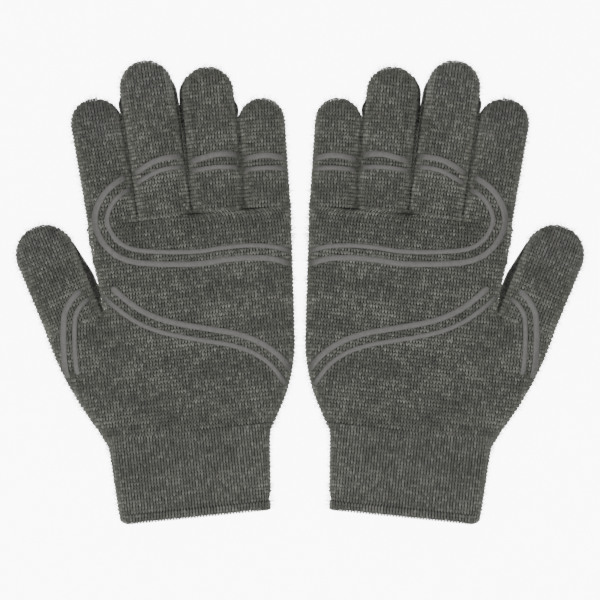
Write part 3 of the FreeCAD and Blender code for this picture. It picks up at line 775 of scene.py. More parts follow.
    flat_at, flat_parts = flat_uv(here)
    knitted = add_node(
        tree,
        "GeometryNodeStoreNamedAttribute",
        {"data_type": "FLOAT2", "domain": "CORNER"},
        {"Name": "OFBake"},
        {"Geometry": knitted, "Value": flat_at},
    ).outputs[0]
    place = sample("FLOAT_VECTOR", here, flat_at)
    outward = sample("FLOAT_VECTOR", add_node(tree, "GeometryNodeInputNormal").outputs[0], flat_at)
    outward = add_node(
        tree, "ShaderNodeVectorMath", {"operation": "NORMALIZE"}, links={0: outward}
    ).outputs[0]
    lift = add_node(
        tree,
        "ShaderNodeVectorMath",
        {"operation": "SCALE"},
        links={0: outward, "Scale": flat_parts["Z"]},
    ).outputs[0]
    target = add_node(
        tree, "ShaderNodeVectorMath", {"operation": "ADD"}, links={0: place, 1: lift}
    ).outputs[0]
    knitted = add_node(
        tree, "GeometryNodeSetPosition", links={"Geometry": knitted, "Position": target}
    ).outputs[0]
    knitted = add_node(
        tree, "GeometryNodeSetMaterial", links={"Geometry": knitted, "Material": given["Yarn"]}
    ).outputs[0]
    add_node(tree, "NodeGroupOutput", links={"Knitting": knitted})
    return tree


KNITTING = knitting_tree()
print("the knitting tree has", len(KNITTING.nodes), "nodes")


# %% Knitting a sheet
def knit(name, places, kept, flip, stitch, wale, course, yarn, seed):
    """Knits over a form grid and returns the result's plain mesh."""
    former = former_mesh(name + "_form", places, kept, flip)
    rows, columns = places.shape[:2]
    values = {
        "Stitch": stitch,
        "Wale": wale * MM,
        "Course": course * MM,
        "Columns": (columns - 1) // 2 + 1,
        "Rows": (rows - 1) // 2 + 1,
        "Fabric Width": (columns - 1) * wale / 2 * MM,
        "Fabric Length": (rows - 1) * course / 2 * MM,
        "Row Shift": 0.0 if rows % 2 else -course / 4 * MM,
        "Seed": seed,
        "Yarn": yarn,
    }
    return run_tree(former, KNITTING, values)


# %% [markdown]
# ## Pieces for both gloves
# Each finished mesh of the left glove is copied for the right one, mirrored in the plane
# between them, and turned the right way out again.


# %% Making a piece on both gloves
def joined_mesh(name, meshes):
    """One mesh of several, with their materials, attributes and maps."""
    bm = bmesh.new()
    for mesh in meshes:
        bm.from_mesh(mesh)
    whole = meshes[0].copy()
    whole.name = name
    bm.to_mesh(whole)
    bm.free()
    return whole


def on_both_gloves(name, mesh, rides, replaces, bend=None):
    """Shows the mesh on the left glove and its mirror image on the right one. rides is the
    body's name without its side, and the piece is attached to that body. bend is (start, end) in
    mm when the piece crosses from the hand to that body; then the piece is attached to no body
    and stays where it is."""
    for side, sign in (("left", 1), ("right", -1)):
        own = mesh if sign == 1 else mesh.copy()
        if sign == -1:
            flat = np.empty(len(own.vertices) * 3, dtype=np.float32)
            own.vertices.foreach_get("co", flat)
            flat[0::3] *= -1
            own.vertices.foreach_set("co", flat)
            own.flip_normals()
        own.update()
        piece = bpy.data.objects.new("%s_%s" % (side, name), own)
        bpy.context.scene.collection.objects.link(piece)
        if bend is None:
            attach(piece, "%s_%s" % (side, rides))
        else:
            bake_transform(piece)
        if replaces:
            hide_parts(*["%s_%s" % (side, node) for node in replaces])


BEND_LENGTH = 20.0


def bend_of(name):
    """Where a stall's fabric starts and ends its bend, on its middle line."""
    lie = stalls[name].lie
    return tuple((*lie.place(0.0, along), FULL_TOP) for along in (0.0, BEND_LENGTH))


# %% [markdown]
# ## Knitting the stalls
# A stall is two sheets, palm side and back, that meet along its sides. The stitch count follows
# from the pitch: a wale every 1.55 mm and a course every 1.9 mm.

# %% Stalls
WALE, COURSE = 1.55, 1.9
ROOT_UNDER = 1.2  # how far a stall's knitting starts below its root
SPARE = 9.0  # fabric past the outline, for turning down
PALM_AND_BACK = ((top_height, False), (back_height, True))
triangles = 0


def count_triangles(mesh):
    mesh.calc_loop_triangles()
    return len(mesh.loop_triangles)


for number, name in enumerate(STALLS):
    stall = stalls[name]
    columns = int(math.ceil((stall.half + SPARE) / (WALE / 2)))
    parts = [("knit", "stall", "knit", heather_yarn, -ROOT_UNDER, math.inf, bend_of(name))]
    if stall.tip_start is not None:
        parts[0] = parts[0][:5] + (stall.tip_start, bend_of(name))
        tip = ("tip_knit", "touch_tip", "touch_yarn", conductive_yarn)
        parts.append(tip + (stall.tip_start, math.inf, None))
    for part, node, slot_name, yarn, low, high, bend in parts:

        def keep(points, low=low, high=high):
            along = stall.lie.measure(points)[1]
            return (along >= low) & (along < high)

        sheets = []
        for height, flip in PALM_AND_BACK:
            depth = wide_depth(name) if flip else glove_depth
            lengthwise = (-3 * COURSE, stall.length + SPARE)
            places, kept = fabric(
                stall.lie, depth, height, lengthwise, WALE, COURSE, columns, keep
            )
            seed = 3 * number + flip
            sheets.append(
                knit(name, places, kept, flip, jersey_stitch, WALE, COURSE, yarn, seed)
            )
        mesh = joined_mesh("%s_%s" % (name, part), sheets)
        triangles += 2 * count_triangles(mesh)
        on_both_gloves(
            "%s_%s" % (name, part), mesh, name, ["%s_%s" % (name, node)], bend
        )
        print(name, part, count_triangles(mesh), "triangles")

# %% [markdown]
# ## Knitting the hand
# The hand's wales run between the lean of the wrist and that of the knuckles. Palm and back are
# separate pieces, so that each stays a handy size.

# %% Hand
knuckle_row = knuckles[-1] - knuckles[0]
hand_lean = (cuff_lean + math.atan2(knuckle_row[1], knuckle_row[0])) / 2
hand_lie = Lie(*(W1 + W2) / 2, hand_lean)
hand_length = max(hand_lie.measure(np.array(knuckles))[1])
thumb, index, little = stalls["thumb"], stalls["index"], stalls["little"]
hand_reach = np.vstack(
    [
        arc(W1, thumb_outer, THUMB_SIDE_ROUND),
        [thumb_outer, thumb.lie.place(-thumb.half - 0.2, 14.0)],
        [index.lie.place(-index.half - 5.0, 12.0), little.lie.place(little.half + 0.2, 12.0)],
        arc(heel, W2, HEEL_ROUND),
        [W2, W2 - wrist_lie.along * 12, W1 - wrist_lie.along * 12],
    ]
)


def reach_depth(points):
    return polygon_depth(hand_reach, points)


ROOT_OVER, CROTCH_OVER = 0.4, 2.6  # how far the hand's stitches run past a root and a crotch
BESIDE = 1.5  # what lies this near a stall's side counts as its crotch
NEAR_ROOT = 40.0  # a stall's band counts up to here, or the thumb's would reach the fingers


def keep_hand(points):
    """Keeps what lies in the hand, up to every stall's root and down to the wrist."""
    inside = (wrist_lie.measure(points)[1] > 0.5) & (glove_depth(points[..., :2]) > YARN - 0.4)
    for stall in stalls.values():
        across, along = stall.lie.measure(points)
        past_root = (along > ROOT_OVER) & (np.abs(across) < stall.half + 0.1)
        past_crotch = (along > CROTCH_OVER) & (np.abs(across) < stall.half + BESIDE)
        inside &= ~((past_root | past_crotch) & (along < NEAR_ROOT))
    inside &= hand_lie.measure(points)[1] < hand_length + 1
    return inside


TUCK, TUCK_START, TUCK_RUN = 0.3, 2.6, 1.4


def tuck(points):
    """How far the hand's last rows dip under the first row of every stall."""
    dip = np.zeros(points.shape[:-1])
    for stall in stalls.values():
        across, along = stall.lie.measure(points)
        under = np.clip((along + TUCK_START) / TUCK_RUN, 0, 1)
        under = under * (np.abs(across) < stall.half + BESIDE)
        dip = np.maximum(dip, TUCK * under * (along < NEAR_ROOT))
    return dip


HAND_SPAN = 104.0  # fabric to either side of the middle stall, enough for the thumb
hand_columns = int(math.ceil(HAND_SPAN / (WALE / 2)))
on_middle, _ = hand_lie.measure(stalls["middle"].lie.start)
knit_lie = Lie(*hand_lie.place(on_middle, 0.0), hand_lean)
for label, (height, flip), replaced in zip(("palm", "back"), PALM_AND_BACK, (["hand"], [])):
    places, kept = fabric(
        knit_lie,
        glove_depth,
        height,
        (-7 * COURSE, hand_length + 8),
        WALE,
        COURSE,
        hand_columns,
        keep_hand,
        lambda points: np.maximum(reach_depth(points), body_depth(points)),
    )
    places[..., 2] += tuck(places[..., :2]) * (1 if flip else -1)
    seed = 31 + flip
    mesh = knit("hand", places, kept, flip, jersey_stitch, WALE, COURSE, heather_yarn, seed)
    triangles += 2 * count_triangles(mesh)
    on_both_gloves("hand_%s_knit" % label, mesh, "hand", replaced)
    print("hand", label, count_triangles(mesh), "triangles")

# %% [markdown]
# ## The ribbed cuff
# A rib puts knit columns in front and hides purl columns between them, so it pulls in and shows
# ridges. The same tree knits it, with a slimmer stitch that stands higher.

# %% Cuff
RIB_WALE, RIB_COURSE = 1.47, 1.75
RIB_COLUMNS = 68  # half stitches to either side
HEM_ROUND = 4.0


def hem_lift(across):
    """How far the hem's edge rises at its rounded corners, from its lowest line."""
    into = np.clip(np.abs(across - hem_middle) - (hem_half - HEM_ROUND), 0, HEM_ROUND)
    return HEM_ROUND - np.sqrt(HEM_ROUND**2 - into**2)


def keep_cuff(points):
    across, along = hem_lie.measure(points)
    return (along - hem_lift(across) > HEM_LENGTH - 0.2) & (wrist_lie.measure(points)[1] < 0.2)


cuff_sheets = []
for height, flip in PALM_AND_BACK:
    places, kept = fabric(
        wrist_lie,
        body_depth,
        height,
        (-CUFF_FULL, 6),
        RIB_WALE,
        RIB_COURSE,
        RIB_COLUMNS,
        keep_cuff,
    )
    sheet = (places, kept, flip, rib_stitch, RIB_WALE, RIB_COURSE, rib_yarn, 41 + flip)
    cuff_sheets.append(knit("cuff", *sheet))
cuff_mesh = joined_mesh("cuff_knit", cuff_sheets)
triangles += 2 * count_triangles(cuff_mesh)
on_both_gloves("cuff_knit", cuff_mesh, "hand", ["cuff"])
print("cuff", count_triangles(cuff_mesh), "triangles; knitting in all", triangles)

# %% [markdown]
# ## The fabric behind the stitches
# Seen between the legs of yarn there is always more yarn, in shadow. A closed shell just under
# the stitches stands for it, coloured a dark grey that is painted shade, and a second one,
# further in, is the lining. Each shell is a bag: rings of points round the form from its mouth
# to its end, once for the outer face and once for the inner face, joined at the mouth. Between
# two fingers the rings are kept well under the stitches, because their straight edges would cut
# across the gap.


# %% Bags
ACROSS = 23  # points over the top of a ring
NEAR_CROTCH, CROTCH_STEP = 10.0, 4.0


def crotch_depth(lie, depth, spots):
    """Depth, but near a crotch the least depth round each spot."""
    moves = (-CROTCH_STEP, 0.0, CROTCH_STEP)
    steps = [lie.along * up + lie.across * aside for up in moves for aside in moves]
    least = np.min([depth(spots + step) for step in steps], axis=0)
    away = np.min([np.linalg.norm(spots - crotch, axis=1) for crotch in knuckles[1:-1]], axis=0)
    return np.where(away < NEAR_CROTCH, least, depth(spots))


def ring(lie, along, edges, depth, inset, back_depth=None, lift=None):
    """One closed ring round the form: over the top from left to right, and back below."""
    left, right = edges
    middle, half = (left + right) / 2, (right - left) / 2
    turn = np.linspace(-math.pi / 2, math.pi / 2, ACROSS)
    across = middle + half * np.sin(turn)
    rise = np.zeros(ACROSS) if lift is None else lift(across)
    spots = lie.place(across, along + rise)
    inside = depth(spots)
    top = np.column_stack([spots, top_height(crotch_depth(lie, depth, spots), spots, inset)])
    below = inside if back_depth is None else back_depth(spots)
    back = np.column_stack([spots, back_height(below, spots, inset)])
    top[[0, -1], 2] = MID
    return np.vstack([top, back[-2:0:-1]])


def tube_faces(rows, count, start=0):
    """The faces between rings that follow one another, from the corner start on."""
    faces = []
    for row in range(rows - 1):
        base = start + row * count
        for k in range(count):
            after = (k + 1) % count
            faces.append((base + k, base + count + k, base + count + after, base + after))
    return faces


def bag_mesh(name, outer, inner, material, open_end=False):
    """outer and inner are lists of rings. The far end is shut by a wall, unless it is open."""
    rows, count = len(outer), len(outer[0])
    inside = rows * count
    faces = tube_faces(rows, count) + [f[::-1] for f in tube_faces(rows, count, inside)]
    if not open_end:
        for layer in (0, 1):
            last = layer * inside + (rows - 1) * count
            for k in range(ACROSS - 1):
                below, below_after = (count - k) % count, (count - k - 1) % count
                wall = [last + k, last + below, last + below_after, last + k + 1]
                wall = [v for n, v in enumerate(wall) if v not in wall[:n]]
                faces.append(wall[::-1] if layer else wall)
    ends = [(0, inside)]
    if open_end:
        ends.append(((rows - 1) * count, (2 * rows - 1) * count))
    for number, (a, b) in enumerate(ends):
        for k in range(count):
            after = (k + 1) % count
            quad = (a + k, a + after, b + after, b + k)
            faces.append(quad[::-1] if number else quad)
    rough = bpy.data.meshes.new(name + "_rings")
    rough.from_pydata((np.vstack(outer + inner) * MM).tolist(), [], faces)
    bm = bmesh.new()
    bm.from_mesh(rough)
    bpy.data.meshes.remove(rough)
    bmesh.ops.remove_doubles(bm, verts=bm.verts, dist=0.004 * MM)
    mesh = finished(bm, name)
    mesh.materials.append(material)
    return mesh


# %% [markdown]
# ## Loose fibres
# Brushed heather yarn sheds fine fibre ends, and they blur the glove's outline. A second tree
# scatters them along the sides of each shell, leaning every way.


# %% The fibre and its tree
def fibre_object():
    """A thin bent spindle with three sides, 3.9 mm long."""
    stations = ((0.0, 0.0, 0.0), (0.2, 1.4, 0.06), (0.1, 2.8, 0.05), (-0.5, 3.9, 0.0))
    bm = bmesh.new()
    rings = []
    for x, z, thick in stations:
        turns = range(3) if thick else (0,)
        spots = [(x + thick * math.cos(2.1 * k), thick * math.sin(2.1 * k), z) for k in turns]
        rings.append([bm.verts.new(Vector(spot) * MM) for spot in spots])
    for lower, upper in zip(rings, rings[1:]):
        for k in range(3):
            after = (k + 1) % 3
            corners = (lower[k % len(lower)], lower[after % len(lower)])
            corners += (upper[after % len(upper)], upper[k % len(upper)])
            bm.faces.new([v for n, v in enumerate(corners) if v not in corners[:n]])
    return bpy.data.objects.new("fibre", finished(bm, "fibre"))


def fuzz_tree():
    sockets = (
        ("Form", "Geometry"),
        ("Fibre", "Object"),
        ("Density", "Float"),
        ("Seed", "Int"),
        ("Yarn", "Material"),
    )
    tree, given = geometry_tree("loose_fibres", sockets, "Fibres")
    normal = add_node(tree, "GeometryNodeInputNormal").outputs[0]
    up = add_node(tree, "ShaderNodeSeparateXYZ", links={0: normal}).outputs["Z"]
    # Fibres matter where the form turns away, at the outline: not on top, nor underneath.
    open_side = add_node(
        tree, "ShaderNodeMath", {"operation": "COMPARE"}, {1: 0.3, 2: 0.6}, {0: up}
    ).outputs[0]
    points = add_node(
        tree,
        "GeometryNodeDistributePointsOnFaces",
        links={
            "Mesh": given["Form"],
            "Selection": open_side,
            "Density": given["Density"],
            "Seed": given["Seed"],
        },
    )
    least_lean, most_lean = (-0.9, -0.9, -3.1), (0.9, 0.9, 3.1)
    lean = random_value(tree, "FLOAT_VECTOR", least_lean, most_lean, given["Seed"])
    turned = add_node(
        tree,
        "FunctionNodeRotateRotation",
        {"rotation_space": "LOCAL"},
        links={"Rotation": points.outputs["Rotation"], "Rotate By": lean},
    ).outputs[0]
    size = random_value(tree, "FLOAT", 0.6, 1.15, given["Seed"])
    fibre = add_node(tree, "GeometryNodeObjectInfo", links={"Object": given["Fibre"]})
    fibres = add_node(
        tree,
        "GeometryNodeInstanceOnPoints",
        links={
            "Points": points.outputs["Points"],
            "Instance": fibre.outputs["Geometry"],
            "Rotation": turned,
            "Scale": size,
        },
    ).outputs["Instances"]
    fibres = add_node(tree, "GeometryNodeRealizeInstances", links={"Geometry": fibres}).outputs[0]
    fibres = add_node(
        tree,
        "GeometryNodeStoreNamedAttribute",
        {"data_type": "FLOAT", "domain": "POINT"},
        {"Name": "tone", "Value": 0.45},
        {"Geometry": fibres},
    ).outputs[0]
    fibres = add_node(
        tree, "GeometryNodeSetMaterial", links={"Geometry": fibres, "Material": given["Yarn"]}
    ).outputs[0]
    add_node(tree, "NodeGroupOutput", links={"Fibres": fibres})
    return tree


FUZZ = fuzz_tree()
fibre = fibre_object()


FIBRES = 1.0  # on each square millimetre


def fuzz(name, rings, yarn, seed, rides, bend=None):
    """Loose fibres over the outer face that the rings make, on both gloves."""
    faces = [face[::-1] for face in tube_faces(len(rings), len(rings[0]))]
    mesh = bpy.data.meshes.new(name + "_form")
    mesh.from_pydata((np.vstack(rings) * MM).tolist(), [], faces)
    form = bpy.data.objects.new(name + "_form", mesh)
    values = {"Fibre": fibre, "Density": FIBRES / MM**2, "Seed": seed, "Yarn": yarn}
    fibres = run_tree(form, FUZZ, values)
    on_both_gloves(name, fibres, rides, [], bend)
    print(name, count_triangles(fibres), "triangles")


# %% Shells of the stalls
UNDER = YARN + 0.34  # the ground fabric's outer face
SHELL_WALL = 1.2  # of the ground fabric and of the lining
# The ground shells wear the painted shade finish; the lining wears the fleece.
SHELLS = (("ground", UNDER, ground_painted_shade), ("lining", UNDER + 1.4, fleece))
SHELL_START = -7.0  # a stall's shells start this far below its root, inside the hand's


def side_of(lie, along, sign, depth, inset):
    """How far the row at along reaches to one side before its depth falls to inset."""
    near, far = 0.0, 90.0
    for _ in range(24):
        middle = (near + far) / 2
        spots = lie.place(np.linspace(0, middle, 40) * sign, np.full(40, along))
        if (depth(spots) > inset).all():
            near = middle
        else:
            far = middle
    return near * sign


def sides_of(lie, along, depth, inset):
    return [side_of(lie, along, sign, depth, inset) for sign in (-1, 1)]


def stall_rings(stall, inset, low, spread=None):
    """The rings of one stall. spread is its outline at the table, where it is wider."""
    half = stall.half - inset
    straight = np.linspace(low, stall.reach, 26)
    round_end = stall.reach + half * np.sin(np.linspace(0, 0.5 * math.pi, 11))[1:]
    rings = []
    for along in np.concatenate([straight, round_end]):
        reach = math.sqrt(max(half**2 - max(along - stall.reach, 0.0) ** 2, 0.0004))
        edges = [-reach, reach]
        if along < 0:
            sides = sides_of(stall.lie, along, reach_depth, inset)
            edges = [max(-reach, sides[0]), min(reach, sides[1])]
        elif spread is not None:
            rim = stall.lie.place(np.array(edges), np.full(2, along))
            more = spread(rim) - stall_depth(stall, rim, low=-60.0)
            more = more + (inset + 0.1) * np.clip(more / 0.25, 0, 1)
            edges = [-reach - more[0], reach + more[1]]
        rings.append(ring(stall.lie, along, edges, glove_depth, inset, spread))
    return rings


for name in STALLS:
    stall = stalls[name]
    for part, inset, material in SHELLS:
        spread = wide_depth(name) if part == "ground" else None
        outer = stall_rings(stall, inset, SHELL_START, spread)
        inner = stall_rings(stall, inset + SHELL_WALL, SHELL_START)
        mesh = bag_mesh("%s_%s" % (name, part), outer, inner, material)
        replaced = ["%s_lining" % name] if part == "lining" else []
        slot_name = "lining" if part == "lining" else "knit"
        on_both_gloves("%s_%s" % (name, part), mesh, name, replaced, bend_of(name))
        if part == "ground":
            narrow = stall_rings(stall, inset, 0.0)
            seed = 60 + STALLS.index(name)
            fuzz("%s_fibres" % name, narrow, heather_yarn, seed, name, bend_of(name))


# %% Hand and cuff bags
def bag_sides(points):
    """The hand's own outline, carried on into the cuff and the fingers but not the thumb."""
    parts = [body_depth(points)] + [stall_depth(stalls[name], points) for name in FINGERS]
    return np.max(np.stack(parts), axis=0)


knuckle_across, knuckle_along = hand_lie.measure(np.array(knuckles))
hand_rows = np.concatenate(  # closest where the thumb leaves the hand
    [np.linspace(-3, 40, 24), np.linspace(41, 68, 28), np.linspace(70, hand_length, 20)]
)
cuff_rows = np.linspace(-CUFF_FULL + 1.0, 2.0, 24)
ROOT_GAP = 0.4  # the hand's shells end this far below the stalls' roots


def below_knuckles(along):
    """Brings a row down to the line of the stalls' roots where it would pass it."""
    return lambda across: np.minimum(
        0.0, np.interp(across, knuckle_across, knuckle_along) - ROOT_GAP - along
    )


def hand_ring(along, inset):
    sides = sides_of(hand_lie, along, bag_sides, inset)
    return ring(hand_lie, along, sides, glove_depth, inset, lift=below_knuckles(along))


def cuff_ring(along, inset):
    sides = sides_of(wrist_lie, along, body_depth, inset)
    return ring(wrist_lie, along, sides, body_depth, inset, lift=hem_lift)


BODY_BAGS = (
    ("hand", hand_ring, hand_rows, False, "knit", heather_yarn, 70),
    ("cuff", cuff_ring, cuff_rows, True, "cuff_knit", rib_yarn, 71),
)
for part, inset, material in SHELLS:
    for name, ring_at, rows, open_end, slot_name, yarn, seed in BODY_BAGS:
        outer, inner = (
            [ring_at(along, depth_in) for along in rows] for depth_in in (inset, inset + SHELL_WALL)
        )
        mesh = bag_mesh("%s_%s" % (name, part), outer, inner, material, open_end)
        if part == "lining":
            on_both_gloves("%s_lining" % name, mesh, "hand", ["%s_lining" % name])
        else:
            on_both_gloves("%s_ground" % name, mesh, "hand", [])
            fuzz("%s_fibres" % name, outer, yarn, seed, "hand")

# %% [markdown]
# ## The overlocked hem
# An overlock seam wraps thread round the cuff's raw edge, loop beside loop. The form is a band
# that goes up the outside, round the edge and up the inside, and the same tree wraps it.

# %% Hem
HEM_INSET, HEM_THICK, HEM_PITCH, HEM_ROWS = 1.4, 0.75, 1.5, 15


def resampled(line, count):
    """The line (x, y) cut into count even spots, and its length."""
    run = np.concatenate([[0], np.cumsum(np.hypot(*np.diff(line, axis=0).T))])
    at = np.linspace(0, run[-1], count)
    return np.column_stack([np.interp(at, run, line[:, k]) for k in (0, 1)]), run[-1]


hem_middle_row = -CUFF_FULL + HEM_LENGTH / 2
hem_sides = sides_of(wrist_lie, hem_middle_row, body_depth, HEM_INSET)
hem_ring = ring(wrist_lie, hem_middle_row, hem_sides, body_depth, HEM_INSET)
loop = np.column_stack([wrist_lie.measure(hem_ring)[0], hem_ring[:, 2]])
loop = np.vstack([loop, loop[:1]])
loop_length = np.hypot(*np.diff(loop, axis=0).T).sum()
hem_count = int(round(loop_length / HEM_PITCH))
loop, loop_length = resampled(loop, 2 * hem_count + 1)
loop = loop[:-1]
hem_wale = loop_length / hem_count
edge = np.roll(loop, -1, axis=0) - np.roll(loop, 1, axis=0)
edge /= np.hypot(*edge.T)[:, None]
outward = np.column_stack([-edge[:, 1], edge[:, 0]])
bend = [
    (HEM_THICK * math.cos(turn), HEM_THICK * (1 - math.sin(turn)))
    for turn in np.linspace(0, math.pi, 13)
]
profile = np.array([(HEM_THICK, HEM_LENGTH + 0.9)] + bend + [(-HEM_THICK, HEM_LENGTH + 0.5)])
profile, profile_length = resampled(profile, HEM_ROWS)
around = np.arange(-2, 2 * hem_count + 3) % (2 * hem_count)
hem_places = []
for out, rise in profile:
    along = -CUFF_FULL + rise + hem_lift(loop[:, 0])
    spots = wrist_lie.place(loop[:, 0] + outward[:, 0] * out, along)
    hem_places.append(np.column_stack([spots, loop[:, 1] + outward[:, 1] * out])[around])
hem_places = np.array(hem_places)
hem_kept = np.zeros(hem_places.shape[:2], bool)
hem_kept[1:-1, 2 : 2 * hem_count + 1] = True
hem_course = profile_length / (HEM_ROWS - 1) * 2
hem_mesh = knit("hem", hem_places, hem_kept, True, rib_stitch, hem_wale, hem_course, rib_yarn, 51)
on_both_gloves("hem_overlock", hem_mesh, "hand", ["cuff_hem"])
triangles += 2 * count_triangles(hem_mesh)
print("hem has", hem_count, "wraps; knitting in all", triangles)

# %% [markdown]
# ## Grip lines
# Silicone is printed on the finished glove and stands up as a soft bead. Each bead is swept
# along a smooth path over the form. Its cross-section is a low dome, and it picks up a little
# of the stitches beneath it. Lines that go on up a stall cross its root in one piece.

# %% Paths of the grip lines
KNUCKLE_PATH = (
    (-0.57, 1.094),
    (-0.70, 1.050),
    (-0.785, 0.998),
    (-0.825, 0.936),
    (-0.80, 0.880),
    (-0.725, 0.825),
    (-0.60, 0.784),
    (-0.42, 0.766),
    (-0.09, 0.761),
    (0.13, 0.766),
    (0.32, 0.780),
    (0.56, 0.790),
    (0.79, 0.785),
    (0.99, 0.760),
)
HEEL_PATH = (
    (-0.765, 0.615),
    (-0.63, 0.560),
    (-0.47, 0.508),
    (-0.26, 0.467),
    (-0.03, 0.443),
    (0.19, 0.426),
    (0.42, 0.407),
    (0.63, 0.373),
    (0.81, 0.315),
    (0.955, 0.228),
)
THUMB_PATH = (
    (-0.98, 0.605),
    (-1.06, 0.565),
    (-1.115, 0.514),
    (-1.125, 0.444),
    (-1.125, 0.379),
    (-1.108, 0.283),
    (-1.085, 0.245),
)
STALL_PATHS = {
    "middle": (
        ((-0.88, 0.290), (0.05, 0.352), (0.96, 0.360)),
        ((-0.86, 0.225), (0.05, 0.284), (0.95, 0.292)),
    ),
    "ring": (
        ((-0.90, 0.342), (0.10, 0.377), (0.96, 0.366)),
        ((-0.88, 0.280), (0.10, 0.290), (0.95, 0.276)),
    ),
    "little": (
        ((-0.90, 0.440), (0.10, 0.459), (0.95, 0.416)),
        ((-0.88, 0.338), (0.10, 0.344), (0.94, 0.320)),
    ),
}
HEEL_REACH = heel[0] - wrist_lie.start[0]
PALM_REACH = knuckles[-1][1] - wrist_lie.start[1]


def hand_path(path):
    return [wrist_lie.start + np.array([x * HEEL_REACH, y * PALM_REACH]) for x, y in path]


def stall_path(name, path):
    stall = stalls[name]
    return [stall.lie.place(x * (stall.half + 0.2), y * stall.length) for x, y in path]


PATH_STEP = 0.6


def smooth_path(points):
    """A smooth curve through the points, cut into even steps."""
    points = np.array(points)
    ends = np.vstack([2 * points[0] - points[1], points, 2 * points[-1] - points[-2]])
    line = []
    for a, b, c, d in zip(ends, ends[1:], ends[2:], ends[3:]):
        for share in np.arange(16) / 16:
            bent = (2 * a - 5 * b + 4 * c - d) * share**2 + (3 * b - a - 3 * c + d) * share**3
            line.append(0.5 * (2 * b + (c - a) * share + bent))
    line = np.array(line + [points[-1]])
    length = np.hypot(*np.diff(line, axis=0).T).sum()
    return resampled(line, int(length / PATH_STEP) + 1)[0]


# %% Sweeping a bead over the form
STITCH_TOP = 0.45  # how far the stitches stand above their form
BEAD = ((-1.0, -0.9), (-1.0, 0.06), (-0.86, 0.27), (-0.55, 0.40), (-0.2, 0.45), (0.2, 0.45))
BEAD += ((0.55, 0.40), (0.86, 0.27), (1.0, 0.06), (1.0, -0.9))


def surface_and_normal(points):
    def level(spots):
        return top_height(glove_depth(spots), spots, YARN)

    slope_x = (level(points + [0.1, 0]) - level(points - [0.1, 0])) / 0.2
    slope_y = (level(points + [0, 0.1]) - level(points - [0, 0.1])) / 0.2
    normal = np.column_stack([-slope_x, -slope_y, np.ones(len(points))])
    return level(points), normal / np.linalg.norm(normal, axis=1)[:, None]


def bead_mesh(name, path, shift, width):
    """A closed bead along the path, moved sideways by shift, that lies on the form."""
    line = smooth_path(path)
    run = np.gradient(line, axis=0)
    run /= np.hypot(*run.T)[:, None]
    aside = np.column_stack([-run[:, 1], run[:, 0]])
    line = line + aside * shift
    on_top = glove_depth(line) > YARN + 0.25
    line, aside = line[on_top], aside[on_top]
    count = len(line)
    steps = np.arange(count) * PATH_STEP
    wobble = 1 + 0.03 * np.sin(steps * 3.4) + 0.025 * np.sin(steps * 1.27 + shift)
    from_end = np.clip(np.minimum(steps, steps[-1] - steps) / (width / 2), 0.02, 1)
    round_end = np.sqrt(from_end * (2 - from_end))
    rows = []
    for out, rise in BEAD:
        spots = line + aside * (out * width / 2 * wobble * round_end)[:, None]
        level, normal = surface_and_normal(spots)
        lift = np.full(count, STITCH_TOP + rise)
        if rise > 0:
            wales = np.sin(spots[:, 0] * 2 * math.pi / WALE)
            bumpy = 0.03 * wales * np.sin(spots[:, 1] * 2 * math.pi / COURSE)
            lift = STITCH_TOP + (rise + bumpy) * round_end
        rows.append(np.column_stack([spots, level]) + normal * lift[:, None])
    sides = len(BEAD)
    index = np.arange(sides * count).reshape(sides, count).tolist()
    faces = [[row[0] for row in index], [row[-1] for row in index[::-1]]]
    for here, after in zip(index, index[1:] + index[:1]):
        faces += list(zip(here[:-1], here[1:], after[1:], after[:-1]))
    rough = bpy.data.meshes.new(name + "_rows")
    rough.from_pydata((np.vstack(rows) * MM).tolist(), [], faces)
    bm = bmesh.new()
    bm.from_mesh(rough)
    bpy.data.meshes.remove(rough)
    mesh = finished(bm, name)
    mesh.materials.append(silicone)
    return mesh


# %% Printing the lines
WIDE, SLIM, SPACING = 3.0, 2.4, 6.1
half = SPACING / 2


def print_pair(name, paths, shifts, rides, replaced, bend=None):
    """Prints a wide line and a slim one, each along its path and shifted sideways."""
    beads = [bead_mesh(name, *line) for line in zip(paths, shifts, (WIDE, SLIM))]
    mesh = joined_mesh(name + "_print", beads)
    on_both_gloves(name + "_print", mesh, rides, replaced, bend)
    print(name, "print", count_triangles(mesh), "triangles")


knuckle_lines = ["knuckle_line_outer", "knuckle_line_inner", "index_lines"]
heel_lines = ["heel_line_upper", "heel_line_lower"]
thumb_lines = ["thumb_lines", "thumb_root_lines"]
palm_paths = [[hand_path(path)] * 2 for path in (KNUCKLE_PATH, HEEL_PATH, THUMB_PATH)]
print_pair("knuckle", palm_paths[0], (-half, half), "index", knuckle_lines, bend_of("index"))
print_pair("heel", palm_paths[1], (half, -half), "hand", heel_lines)
shifts = (-half * 0.9, half * 0.9)
print_pair("thumb", palm_paths[2], shifts, "thumb", thumb_lines, bend_of("thumb"))
for name, paths in STALL_PATHS.items():
    paths = [stall_path(name, path) for path in paths]
    print_pair(name, paths, (0.0, 0.0), name, ["%s_lines" % name], bend_of(name))

# %% Elastic threads keep their CAD shape
for side in ("left", "right"):
    thread = frame["nodes"]["%s_cuff_elastic" % side]
    thread.data.materials.clear()
    thread.data.materials.append(covered_elastic)

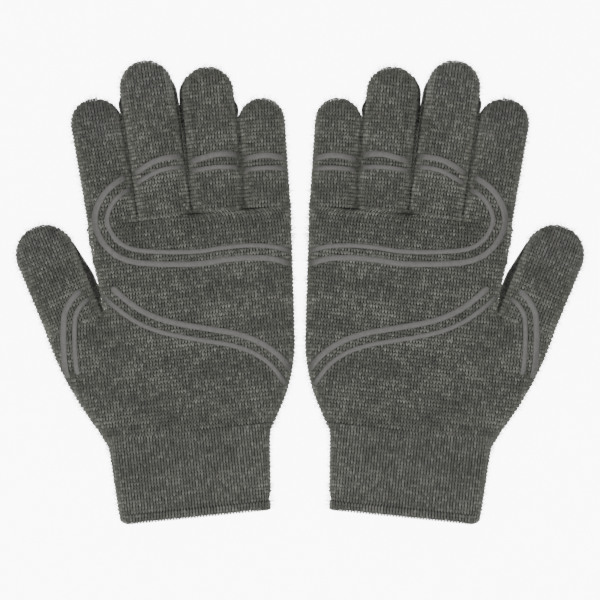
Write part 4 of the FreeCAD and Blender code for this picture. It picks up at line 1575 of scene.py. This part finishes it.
# %% Camera, floor and light
floor_mesh = bpy.data.meshes.new("floor")
floor_corners = [(x, y, 0) for x, y in ((-3, -3), (3, -3), (3, 3), (-3, 3))]
floor_mesh.from_pydata(floor_corners, [], [(0, 1, 2, 3)])
floor = bpy.data.objects.new("floor", floor_mesh)
bpy.context.scene.collection.objects.link(floor)
floor_material, floor_tree, floor_shader = new_material(
    "white_sweep", Base_Color=linear("F6F6F6"), Roughness=0.9, Emission_Color=(1, 1, 1, 1)
)
# A product shot has its backdrop lit apart from the product: the glow is for the camera only.
glow = add_node(
    floor_tree,
    "ShaderNodeMath",
    {"operation": "MULTIPLY"},
    {1: 9.0},
    {0: add_node(floor_tree, "ShaderNodeLightPath").outputs["Is Camera Ray"]},
)
floor_tree.links.new(glow.outputs[0], floor_shader.inputs["Emission Strength"])
floor_mesh.materials.append(floor_material)

camera_data = bpy.data.cameras.new("camera")
camera = bpy.data.objects.new("camera", camera_data)
bpy.context.scene.collection.objects.link(camera)
bpy.context.scene.camera = camera
# The camera sees a field 0.3 m wide, half way up the gloves.
CAMERA_HEIGHT, HALF_UP, FIELD, SENSOR = 1.8, 0.008, 0.300, 36.0
camera_data.sensor_width = SENSOR
camera_data.lens = SENSOR / (FIELD / (CAMERA_HEIGHT - HALF_UP))
camera_data.clip_end = 10
camera.location = (0.0, -0.0040, CAMERA_HEIGHT)


def soft_light(name, place, size, power):
    """A square area lamp that looks at the middle of the pair."""
    data = bpy.data.lights.new(name, "AREA")
    data.shape, data.size, data.energy = "SQUARE", size, power
    lamp = bpy.data.objects.new(name, data)
    lamp.location = place
    lamp.rotation_euler = (-Vector(place)).to_track_quat("-Z", "Y").to_euler()
    bpy.context.scene.collection.objects.link(lamp)


soft_light("overhead", (0.0, -0.45, 1.5), 1.4, 12.6)
soft_light("side", (-1.1, -0.7, 1.0), 0.8, 5.0)
world = bpy.data.worlds.new("studio")
world.use_nodes = True
background = world.node_tree.nodes["Background"]
background.inputs["Color"].default_value = (1, 1, 1, 1)
background.inputs["Strength"].default_value = 0.6
bpy.context.scene.world = world
